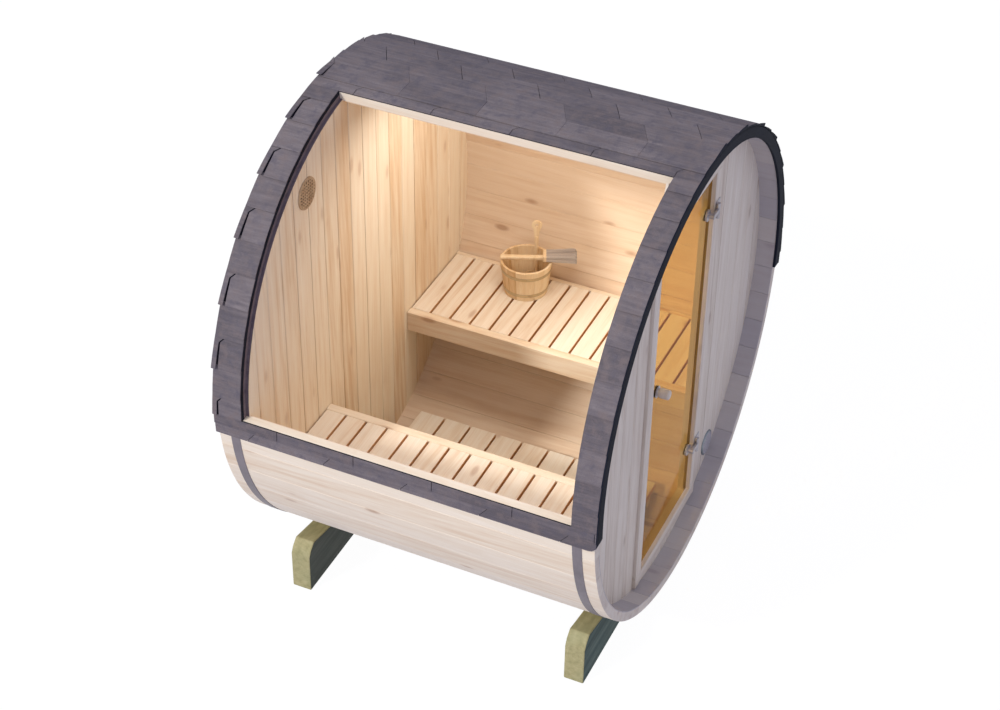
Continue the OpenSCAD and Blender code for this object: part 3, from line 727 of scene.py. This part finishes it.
DOOR_LOW, DOOR_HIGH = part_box("door_sill")[0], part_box("door_head")[1]
front_boards = Work()
wall_run(front_boards, -WALL_EDGE, DOOR_LOW.x, -WALL_OUT, -WALL_IN, scribed=True)
wall_run(front_boards, DOOR_HIGH.x, WALL_EDGE, -WALL_OUT, -WALL_IN, bore=upright_middle("front_vent"))
wall_run(front_boards, DOOR_LOW.x, DOOR_HIGH.x, -WALL_OUT, -WALL_IN, z0=DOOR_HIGH.z - AXIS_Z, scribed=True)
wall_run(front_boards, DOOR_LOW.x, DOOR_HIGH.x, -WALL_OUT, -WALL_IN, z1=DOOR_LOW.z - AXIS_Z)
front_boards.piece(
    "front_wall_boards", [front_wood, joint_shade_wood],
    ["front_wall_left", "front_wall_right", "front_wall_over_door", "front_wall_under_door"],
)


# Door frame and glass


def node_bars(name, material, nodes, ease, spread):
    """One bar with eased edges in the place of each node."""
    work = Work()
    for node in nodes:
        work.box(*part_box(node), ease=ease, spread=spread)
    return work.piece(name, [material], nodes)


node_bars("door_jambs", jamb_wood, ["door_jamb_left", "door_jamb_right"], 0.004, (0.05, 0.05, 0.4))
node_bars("door_head_and_sill", head_wood, ["door_head", "door_sill"], 0.004, (0.3, 0.05, 0.05))

STOP_W = 0.014
STOP_EASE = 0.002
STOP_SPREAD = (0.03, 0.03, 0.4)
low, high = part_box("door_stops")
stops = Work()
stops.box(low, (low.x + STOP_W, high.y, high.z), STOP_EASE, spread=STOP_SPREAD)
stops.box((high.x - STOP_W, low.y, low.z), high, STOP_EASE, spread=STOP_SPREAD)
stops.box((low.x + STOP_W, low.y, high.z - STOP_W), (high.x - STOP_W, high.y, high.z), STOP_EASE)
stops.piece("door_stop_strips", [jamb_wood], ["door_stops"])

glass = Work()
glass.box(*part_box("door_glass"), ease=0.0015)
glass.piece("door_leaf", [glass_mat], ["door_glass"], body="door")

for node in ("hinge_clamps", "hinge_leaves"):
    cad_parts[node].data.materials.clear()
    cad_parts[node].data.materials.append(hinge_steel)

KNOB_ROSE = [(0.0, 0.0), (0.0245, 0.0), (0.026, 0.0015), (0.026, 0.0030), (0.0245, 0.004), (0.0, 0.004)]
knob_x, knob_z = upright_middle("door_knobs")
knobs = Work()
for face, tip in zip(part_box("door_glass"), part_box("door_knobs")):
    out = -1 if tip.y < face.y else 1
    length = abs(tip.y - face.y)
    turn = Matrix.Translation((knob_x, face.y, knob_z)) @ Matrix.Rotation(math.radians(-90 * out), 4, "X")
    knobs.turned(KNOB_ROSE, turn, tone=0.5, material=1)
    knobs.turned(
        [
            (0.0, 0.0038), (0.0165, 0.0038), (0.0165, 0.009), (0.0195, 0.012), (0.021, 0.017),
            (0.021, length - 0.008), (0.0198, length - 0.003), (0.0165, length), (0.0, length),
        ],
        turn, spread=(0.01, 0.02, 0.03),
    )
knobs.piece("door_knob_pair", [jamb_wood, hinge_steel], ["door_knobs"], body="door", sharp=50.0)


# Benches and floor

SLAT_GAP = 0.009


def slat_row(name, node, count):
    """Slats across a bench or the aisle, with even gaps."""
    low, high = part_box(node)
    pitch = (high.y - low.y + SLAT_GAP) / count
    work = Work()
    for i in range(count):
        y = low.y + i * pitch
        work.box((low.x, y, low.z), (high.x, y + pitch - SLAT_GAP, high.z), ease=0.004, spread=(0.4, 0.05, 0.06))
    paint_ends(work, 0.8)
    return work.piece(name, [slat_wood, slat_side_shade], [node])


slat_row("far_bench_seat", "far_bench_slats", 14)
slat_row("near_bench_seat", "near_bench_slats", 14)
slat_row("aisle_floor", "floor_slats", 9)
for side in ("far", "near"):
    node_bars(side + "_bench_front_rail", rail_wood, [side + "_bench_rail"], 0.005, (0.05, 0.5, 0.06))
    node_bars(side + "_bench_back_strip", rail_wood, [side + "_bench_batten"], 0.003, (0.03, 0.5, 0.03))

BEARER_W = 0.045
BEARERS = ["far_bench_bearers", "near_bench_bearers", "floor_bearers"]
bearers = Work()
for node in BEARERS:
    low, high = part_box(node)
    bearers.box(low, (low.x + BEARER_W, high.y, high.z), spread=(0.04, 0.5, 0.04))
    bearers.box((high.x - BEARER_W, low.y, low.z), high, spread=(0.04, 0.5, 0.04))
bearers.piece("bench_and_floor_bearers", [rail_wood], BEARERS)


# Roof

COURSES = range(-1, 13)
COURSE_MIN_DEG = 0.3
SLOPE_SPLIT = 44.0
TAB_W = 0.333
TAB_MIN = 0.004
# Height of a tab as a share of its course
LAP = 1.12
TAB_T = 0.0044
TAB_RISE = 0.0064
TAB_DROP = 0.0046
TAB_PLAY = 0.0005
NARROW_TAB = 0.06
END_LIFT = 0.009
TAB_GAP = 0.0022
BACK_GAP = 0.0060
RIDGE_GAP = 0.0003
# Depth of the dark wedges at the front end, painted shade on the tabs' end faces, their foot and their lift over the
# tabs
SHADE_WEDGE = 0.004
SHADE_WEDGE_FOOT = 0.0008
SHADE_WEDGE_LIFT, SHADE_WEDGE_LIFT_FAR = 0.0012, 0.008
FELT = (0.0006, 0.0026)
CAP_FOOT = -0.012
CORNER_R = 0.045
CORNER_Z = AXIS_Z + (SHELL_R + 0.008) * math.sin(math.radians(ROOF_LOW))
EDGE_DEPTH = 0.046


def tab_foot(share, lift):
    """Height of a tab's underside over the shell, from its free edge (share 0) to the next course (share 1)."""
    return TAB_RISE + lift - (TAB_DROP + lift) * share


def shingle_tab(work, low, left, right, slit, far, y_limits, deg_limits, lift):
    """One tab: a thin plate between two slits, cut to the roof's limits, bent round the barrel, thick edge down."""
    knee, bend = slit
    flat = [(0.0, left), (0.0, right), (knee, right), (1.0, right - bend), (LAP, right - bend)]
    flat += [(LAP, left - bend), (1.0, left - bend), (knee, left)]
    work.bm.faces.new([work.bm.verts.new((share, y, 0.0)) for share, y in flat])
    for share in (knee * 0.5, knee, (knee + 1) / 2, 1.0):
        work.cut((share, 0, 0), (1, 0, 0), clear=False)
    work.cut((max(0.0, (deg_limits[0] - low) / COURSE_DEG), 0, 0), (-1, 0, 0))
    work.cut((min(LAP, (deg_limits[1] - low) / COURSE_DEG), 0, 0), (1, 0, 0))
    work.cut((0, y_limits[0], 0), (0, -1, 0))
    work.cut((0, y_limits[1], 0), (0, 1, 0))
    if not work.fresh_faces():
        bmesh.ops.delete(work.bm, geom=work.fresh(), context="VERTS")
        return
    work.push((0, 0, 1))
    for v in work.fresh():
        share, y, top = v.co
        deg = low + share * COURSE_DEG
        r = SHELL_R + tab_foot(share, lift) + (TAB_T if top > 0.5 else 0.0)
        v.co = rim(r, 180 - deg if far else deg, y)
    work.face_out()
    work.ease(0.0010, 1, 50.0)
    work.close()


def shingle_course(work, i, far, y_limits, deg_limits, shift, slit, gap):
    """One course of tabs, shifted by half a tab on every second course, with a lifted narrow tab at the back end."""
    low = FIRST_COURSE + i * COURSE_DEG
    if low + COURSE_DEG <= deg_limits[0] + COURSE_MIN_DEG or low >= deg_limits[1] - COURSE_MIN_DEG:
        return
    if low + COURSE_DEG > RIDGE:
        gap = RIDGE_GAP
    start = -3 * TAB_W + shift + (TAB_W / 2 if i % 2 else 0.0)
    for k in range(-1, 8):
        left = start + k * TAB_W + gap / 2
        right = start + (k + 1) * TAB_W - gap / 2
        if right < y_limits[0] + TAB_MIN or left - slit[1] > y_limits[1] - TAB_MIN:
            continue
        narrow = y_limits[1] > END_Y and y_limits[1] - left < NARROW_TAB
        limits = (y_limits[0], y_limits[1] + (END_LIFT / 3 if narrow else 0.0))
        lift = END_LIFT if narrow else rng.uniform(0, TAB_PLAY)
        shingle_tab(work, low, left, right, slit, far, limits, deg_limits, lift)


def shade_wedge_course(work, i, far, y0, y1, deg_limits):
    """Dark end of one course: a wedge that closes the gap under its tabs and covers their end faces as painted shade,
    higher on every second far course.
    """
    low = FIRST_COURSE + i * COURSE_DEG
    a0, a1 = max(low, deg_limits[0]), min(low + COURSE_DEG, deg_limits[1])
    if a1 - a0 < COURSE_MIN_DEG:
        return
    lift = SHADE_WEDGE_LIFT_FAR if far and i % 2 == 0 else SHADE_WEDGE_LIFT
    shares = [(a0 - low + (a1 - a0) * k / 2) / COURSE_DEG for k in range(3)]
    degs = [low + share * COURSE_DEG for share in shares]
    degs = [180 - deg for deg in degs] if far else degs
    outer = [rim(SHELL_R + tab_foot(share, lift) + TAB_T, deg, y0) for share, deg in zip(shares, degs)]
    inner = [rim(SHELL_R + SHADE_WEDGE_FOOT, deg, y0) for deg in degs]
    work.plate(outer + inner[::-1], Vector((0, y1 - y0, 0)), material=1)


def felt(work, reach, y0, y1, heights=FELT, material=1):
    """Curved dark strip over a reach of angles, between two heights over the shell."""
    a0, a1 = reach
    steps = max(2, round((a1 - a0) / 3.6))
    low, high = heights
    work.bent_bar(SHELL_R + low, SHELL_R + high, a0, a1, y0, y1, steps, material=material)


def round_corner(work):
    """Rounds the near lower corner at the front end of a roof piece."""
    for deg in (15, 45, 75):
        outward = Vector((0, -math.cos(math.radians(deg)), -math.sin(math.radians(deg))))
        point = Vector((0, CORNER_R - ROOF_Y, CORNER_Z + CORNER_R)) + outward * CORNER_R
        work.cut(point, outward, [f for f in work.bm.faces if f.calc_center_median().x < 0])
        bmesh.ops.holes_fill(work.bm, edges=[e for e in work.bm.edges if e.is_boundary], sides=0)
    bmesh.ops.recalc_face_normals(work.bm, faces=work.bm.faces)


def roof_piece(name, node, far, y_limits, deg_limits, shift, slit, gap=TAB_GAP):
    """Felt, which shows in the slits as painted shade, dark wedges at the front end as painted shade, and the courses
    of tabs between two angles of one slope.
    """
    work = Work()
    low, high = deg_limits
    reach = (180 - high, 180 - low) if far else (low, high)
    # Dark felt under the tabs: real underlay, and painted shade where it shows in the slits.
    felt(work, reach, *y_limits)
    y_low, y_high = y_limits
    if y_low < -END_Y:
        y_low += SHADE_WEDGE
        for i in COURSES:
            shade_wedge_course(work, i, far, y_low - SHADE_WEDGE, y_low, deg_limits)
    for i in COURSES:
        shingle_course(work, i, far, (y_low, y_high), deg_limits, shift, slit, gap)
    # At each cut face a dark bitumen cap covers the roof's cut edge and, as painted shade, the top of the stave ends.
    # Below it the stave ends take the painted shade colour, and at the back so does the strip of shell before the
    # back wall.
    for cut, other in ((CUT_FRONT, y_limits[1]), (CUT_BACK, y_limits[0])):
        if cut == other:
            felt(work, reach, cut - 0.0015, cut + 0.0015, (CAP_FOOT, 0.0045))
            felt(work, reach, cut - 0.0013, cut + 0.0013, (SHELL_IN - SHELL_R, CAP_FOOT), material=2)
    if y_limits[0] == CUT_BACK:
        sill = WALL_R - SHELL_R
        felt(work, reach, WALL_IN, CUT_BACK, (sill - 0.0020, sill + 0.0004), material=2)
    if name == "roof_near_eave":
        round_corner(work)
    return work.piece(name, [shingle_mat, edge_mat, stave_end_shade], [node] if node else [])


# Shift of the slits along the barrel, then the share at which a slit bends and how far it bends
NEAR = (0.126, (0.84, 0.018))
FRONT = (0.176, (0.84, 0.018))
FAR = (0.184, (0.04, 0.066))
EAVE = (0.198, (0.35, 0.066))
FULL = (-ROOF_Y, ROOF_Y)
roof_piece("roof_top_near", None, False, FULL, (CUT_HIGH, RIDGE), *NEAR)
roof_piece("roof_top_far", "roof_top", True, FULL, (SLOPE_SPLIT, RIDGE), *FAR)
roof_piece("roof_far_side", "roof_far", True, FULL, (ROOF_LOW, SLOPE_SPLIT), *FAR)
roof_piece("roof_front_band", "roof_band_front", False, (-ROOF_Y, CUT_FRONT), (0.0, CUT_HIGH), *FRONT)
roof_piece("roof_back_band", "roof_band_back", False, (CUT_BACK, ROOF_Y), (0.0, CUT_HIGH), *NEAR, gap=BACK_GAP)
roof_piece("roof_near_eave", "roof_eave_near", False, FULL, (ROOF_LOW, 0.0), *EAVE)


def roof_edge(name, node):
    """Dark board on the stave ends, a bent strip with eased edges."""
    low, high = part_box(node)
    work = Work()
    work.bent_bar(
        SHELL_R - EDGE_DEPTH, SHELL_R + 0.0005, ROOF_LOW, 180 - ROOF_LOW, low.y, high.y, 64, ease=0.002
    )
    if low.y < 0:
        round_corner(work)
    return work.piece(name, [edge_mat], [node])


roof_edge("front_roof_edge", "roof_edge_front")
roof_edge("back_roof_edge", "roof_edge_back")


# Vents

SLEEVE_R, SLEEVE_IN = 0.048, 0.045
SLEEVE_LIP = 0.0015
WIRE_PITCH, WIRE_W, WIRE_EASE = 0.0145, 0.0070, 0.0012


def mesh_vent(name, node, disc, wire_mat, rim_mat):
    """Round vent: turned rim with a sleeve through the wall, a dark disc behind the screen as painted shade in the
    opening, and a woven wire screen.
    """
    low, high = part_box(node)
    x, z = upright_middle(node)
    face = low.y
    place = Matrix.Translation((x, face, z)) @ ALONG_Y
    back = face - high.y - SLEEVE_LIP
    work = Work()
    work.turned(
        [
            (disc - 0.003, -0.0005), (disc - 0.001, 0.0), (disc + 0.003, 0.0), (disc + 0.007, -0.0015),
            (disc + 0.008, -0.0045), (disc + 0.008, -0.006), (SLEEVE_R, -0.006), (SLEEVE_R, back),
            (SLEEVE_IN, back), (SLEEVE_IN, -0.004), (disc - 0.003, -0.004), (disc - 0.003, -0.0005),
        ],
        place, steps=64, material=1,
    )
    # Dark disc behind the screen: painted shade in the vent's opening.
    work.turned([(0.0, -0.0030), (disc, -0.0030), (disc, -0.0042), (0.0, -0.0042)], place, steps=40, material=2)
    count = int((disc - 0.002) / WIRE_PITCH)
    for i in range(-count, count + 1):
        at = i * WIRE_PITCH
        half = math.sqrt(disc ** 2 - at * at)
        left, right, foot, head = (middle + at + side for middle in (x, z) for side in (-WIRE_W / 2, WIRE_W / 2))
        work.box((left, face - 0.0015, z - half), (right, face + 0.0030, z + half), WIRE_EASE)
        work.box((x - half, face - 0.0005, foot), (x + half, face + 0.0040, head), WIRE_EASE)
    return work.piece(name, [wire_mat, rim_mat, edge_mat], [node])


mesh_vent("back_wall_vent", "back_vent", 0.060, vent_mesh, vent_mesh)
mesh_vent("front_wall_vent", "front_vent", 0.051, front_mesh, vent_ring)


# Bucket, ladle and brush

bucket_low, bucket_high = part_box("bucket")
BUCKET = Vector(((bucket_low.x + bucket_high.x) / 2, (bucket_low.y + bucket_high.y) / 2, bucket_low.z))
at_bucket = Matrix.Translation(BUCKET)
bucket_h = bucket_high.z - bucket_low.z
PAIL_STAVES = 16
PAIL_JOINT_DEG = 0.5
PAIL_STAVE = [
    (0.0862, 0.0), (0.0975, 0.0), (0.098, 0.0006), (0.1178, bucket_h - 0.002), (0.1165, bucket_h),
    (0.1075, bucket_h), (0.106, bucket_h - 0.002), (0.0862, 0.0),
]
pail = Work()
for k in range(PAIL_STAVES):
    turn = at_bucket @ Matrix.Rotation(math.tau * k / PAIL_STAVES, 4, "Z")
    pail.turned(
        PAIL_STAVE, turn, steps=4, angle=360.0 / PAIL_STAVES - PAIL_JOINT_DEG, spread=(0.01, 0.01, 0.05)
    )
pail.turned([(0.0, 0.004), (0.089, 0.004), (0.0905, 0.012), (0.0, 0.012)], at_bucket, steps=48)
pail.piece("bucket_staves", [bucket_wood], ["bucket"])

BAND_W, BAND_T, BAND_EASE = 0.016, 0.0016, 0.001
bands = Work()
for foot in (0.023, 0.119):
    head = foot + BAND_W
    r0, r1 = (0.0983 + 0.02 * h / bucket_h for h in (foot, head))
    bands.turned(
        [
            (r0, foot), (r0 + BAND_EASE, foot), (r0 + BAND_T, foot + BAND_EASE), (r1 + BAND_T, head - BAND_EASE),
            (r1 + BAND_EASE, head), (r1, head), (r0, foot),
        ],
        at_bucket, steps=72,
    )
bands.piece("bucket_bands", [band_metal], ["bucket_hoops"])

LADLE_TURN, PADDLE_TURN, LADLE_LEN, PADDLE_LEN = -11.0, 35.0, 0.320, 0.095
cup_place = at_bucket @ Matrix.Rotation(math.radians(LADLE_TURN), 4, "Z") @ Matrix.Translation((0.048, 0, 0.012))
stem_place = cup_place @ Matrix.Translation((0.029, 0, 0))
ladle = Work()
ladle.turned(
    [
        (0.0, 0.0), (0.030, 0.0), (0.034, 0.004), (0.034, 0.040), (0.033, 0.042), (0.030, 0.042), (0.029, 0.040),
        (0.029, 0.008), (0.026, 0.005), (0.0, 0.005),
    ],
    cup_place, steps=40, spread=(0.01, 0.01, 0.02),
)
stem_len = LADLE_LEN - PADDLE_LEN
ladle.turned(
    [
        (0.0, 0.0), (0.008, 0.0), (0.0092, 0.004), (0.0092, stem_len), (0.0080, stem_len + 0.012),
        (0.0, stem_len + 0.014),
    ],
    stem_place, steps=20, spread=(0.004, 0.004, 0.05),
)
ladle.piece("ladle_cup_and_stem", [bucket_wood], ["ladle"])

PADDLE_R, PADDLE_HOLE_R, PADDLE_T = 0.024, 0.007, 0.010
paddle_place = stem_place @ Matrix.Rotation(math.radians(PADDLE_TURN), 4, "Z")
paddle_place = paddle_place @ Matrix.Translation((-PADDLE_T / 2, 0, stem_len))
round_at = PADDLE_LEN - PADDLE_R


def round_points(r, degrees):
    turns = [math.radians(deg) for deg in degrees]
    return [(r * math.cos(a), round_at + r * math.sin(a)) for a in turns]


paddle_rim = [(-0.0095, 0.0), (0.0095, 0.0), (0.0125, 0.030), *round_points(PADDLE_R, range(-52, 233, 12))]
paddle_rim += [(-0.0125, 0.030)]
paddle = Work()
loops = []
for outline in (paddle_rim, round_points(PADDLE_HOLE_R, range(0, 360, 18))):
    verts = [paddle.bm.verts.new(paddle_place @ Vector((0, y, z))) for y, z in outline]
    loops += [paddle.bm.edges.new(pair) for pair in zip(verts, verts[1:] + verts[:1])]
bmesh.ops.triangle_fill(paddle.bm, use_beauty=True, use_dissolve=False, edges=loops)
paddle.push(paddle_place.to_3x3() @ Vector((PADDLE_T, 0, 0)))
paddle.face_out()
paddle.ease(0.002, 2, 60.0)
paddle.close((0.02, 0.02, 0.05), tone=0.3)
paddle.piece("ladle_paddle", [bucket_wood])

BRUSH_TURN, BRUSH_START, BRUSH_LEN, HEAD_LEN = -66, -0.118, 0.345, 0.148
TUFT_ROWS, TUFTS, TUFT_HALF, TUFT_Z = 9, 17, 0.0016, 0.02
brush_place = at_bucket @ Matrix.Translation((0, 0, bucket_h + 0.0003))
brush_place = brush_place @ Matrix.Rotation(math.radians(BRUSH_TURN), 4, "Z")
neck = BRUSH_START + BRUSH_LEN - HEAD_LEN
brush = Work()
brush.box((BRUSH_START, -0.012, 0.0), (neck + 0.004, 0.012, 0.018), 0.0055, 3, turn=brush_place, tone=0.35)
brush.box((neck - 0.006, -0.030, 0.002), (neck + 0.016, 0.030, 0.034), 0.006, 3, turn=brush_place, tone=0.7)
for row in range(TUFT_ROWS):
    for k in range(TUFTS):
        y = -0.036 + 0.072 * k / (TUFTS - 1)
        up = 0.003 + 0.034 * row / (TUFT_ROWS - 1) - TUFT_Z
        if (abs(y) / 0.040) ** 4 + (abs(up) / 0.020) ** 4 > 1.0:
            continue
        tip = HEAD_LEN + neck - rng.uniform(0.0, 0.012)
        root = neck + 0.010
        lean = Matrix.Translation((root, y * 0.8, TUFT_Z + up * 0.8))
        lean = lean @ Matrix.Rotation(y * 1.4 + rng.uniform(-0.02, 0.02), 4, "Z")
        lean = lean @ Matrix.Rotation(-up * 1.4 + rng.uniform(-0.02, 0.02), 4, "Y")
        brush.box(
            (0, -TUFT_HALF, -TUFT_HALF), (tip - root, TUFT_HALF, TUFT_HALF), 0, turn=brush_place @ lean, material=1
        )
brush.piece("scrub_brush", [bucket_wood, bristle_mat], ["brush"])


# Floor, light and camera


def studio_floor():
    """Wide plain floor that looks white and keeps the object's shadow."""
    bm = bmesh.new()
    bmesh.ops.create_grid(bm, x_segments=1, y_segments=1, size=40.0)
    mesh = bpy.data.meshes.new("studio_floor")
    bm.to_mesh(mesh)
    bm.free()
    obj = bpy.data.objects.new("studio_floor", mesh)
    bpy.context.scene.collection.objects.link(obj)
    g = Graph("studio floor white")
    path = g.add("ShaderNodeLightPath")
    seen = g.math("MAXIMUM", path.outputs["Is Camera Ray"], path.outputs["Is Glossy Ray"])
    seen = g.math("MAXIMUM", seen, path.outputs["Is Transmission Ray"])
    matt = g.add("ShaderNodeBsdfDiffuse", {"Color": (0.52, 0.52, 0.62)})
    glow = g.add("ShaderNodeEmission", {"Color": (1.0, 1.0, 1.0), "Strength": 1.06})
    blend = g.add(
        "ShaderNodeMixShader",
        {0: g.math("MULTIPLY", seen, 0.92), 1: matt.outputs[0], 2: glow.outputs[0]},
    )
    g.tree.links.new(blend.outputs[0], g.out.inputs["Surface"])
    mesh.materials.append(g.mat)


studio_floor()

scene = bpy.context.scene
world = bpy.data.worlds.new("studio")
scene.world = world
world.use_nodes = True
sky = world.node_tree
sky.nodes.clear()
sky_out = sky.nodes.new("ShaderNodeOutputWorld")


def background(colour, strength):
    node = sky.nodes.new("ShaderNodeBackground")
    node.inputs["Color"].default_value = (*colour, 1.0)
    node.inputs["Strength"].default_value = strength
    return node.outputs[0]


path = sky.nodes.new("ShaderNodeLightPath")
either = sky.nodes.new("ShaderNodeMath")
either.operation = "MAXIMUM"
sky.links.new(path.outputs["Is Camera Ray"], either.inputs[0])
sky.links.new(path.outputs["Is Transmission Ray"], either.inputs[1])
choose = sky.nodes.new("ShaderNodeMixShader")
sky.links.new(either.outputs[0], choose.inputs[0])
sky.links.new(background((0.78, 0.79, 0.95), 0.70), choose.inputs[1])
sky.links.new(background((1.0, 1.0, 1.0), 1.0), choose.inputs[2])
sky.links.new(choose.outputs[0], sky_out.inputs["Surface"])


def lamp(name, kind, energy, colour, spot, aim, **settings):
    """Lamp at a spot, turned to what it lights."""
    data = bpy.data.lights.new(name, kind)
    data.energy = energy
    data.color = colour
    for setting, value in settings.items():
        setattr(data, setting, value)
    obj = bpy.data.objects.new(name, data)
    scene.collection.objects.link(obj)
    obj.location = spot
    obj.rotation_euler = (Vector(aim) - Vector(spot)).to_track_quat("-Z", "Y").to_euler()


lamp("key light", "SUN", 2.05, (1.0, 0.98, 0.94), (-3.65, 1.86, 3.99), (0, 0, AXIS_Z), angle=math.radians(6))
lamp(
    "cabin light", "AREA", 8.8, (1.0, 0.95, 0.88), (0.26, 0.02, 1.97), (0.26, 0.02, AXIS_Z),
    shape="RECTANGLE", size=0.4, size_y=0.8,
)

# Camera as fitted to the photograph: degrees round the barrel's middle, metres beside it
AZIMUTH, ELEVATION, ROLL = -65.7884, 37.9536, 0.937
DISTANCE, SIDE, RISE = 8.8217, -0.0530, -0.1293
camera_data = bpy.data.cameras.new("camera")
camera_data.sensor_width = 36.0
camera_data.lens = 76.965
camera = bpy.data.objects.new("camera", camera_data)
scene.collection.objects.link(camera)
az, el, roll = (math.radians(v) for v in (AZIMUTH, ELEVATION, ROLL))
back = Vector((math.sin(az) * math.cos(el), -math.cos(az) * math.cos(el), math.sin(el)))
right = Vector((0, 0, 1)).cross(back).normalized()
up = back.cross(right)
right, up = math.cos(roll) * right + math.sin(roll) * up, -math.sin(roll) * right + math.cos(roll) * up
spot = Vector((0, 0, AXIS_Z)) + right * SIDE + up * RISE + back * DISTANCE
camera.matrix_world = Matrix((
    (right.x, up.x, back.x, spot.x), (right.y, up.y, back.y, spot.y), (right.z, up.z, back.z, spot.z), (0, 0, 0, 1),
))
scene.camera = camera

scene.view_settings.view_transform = "Standard"
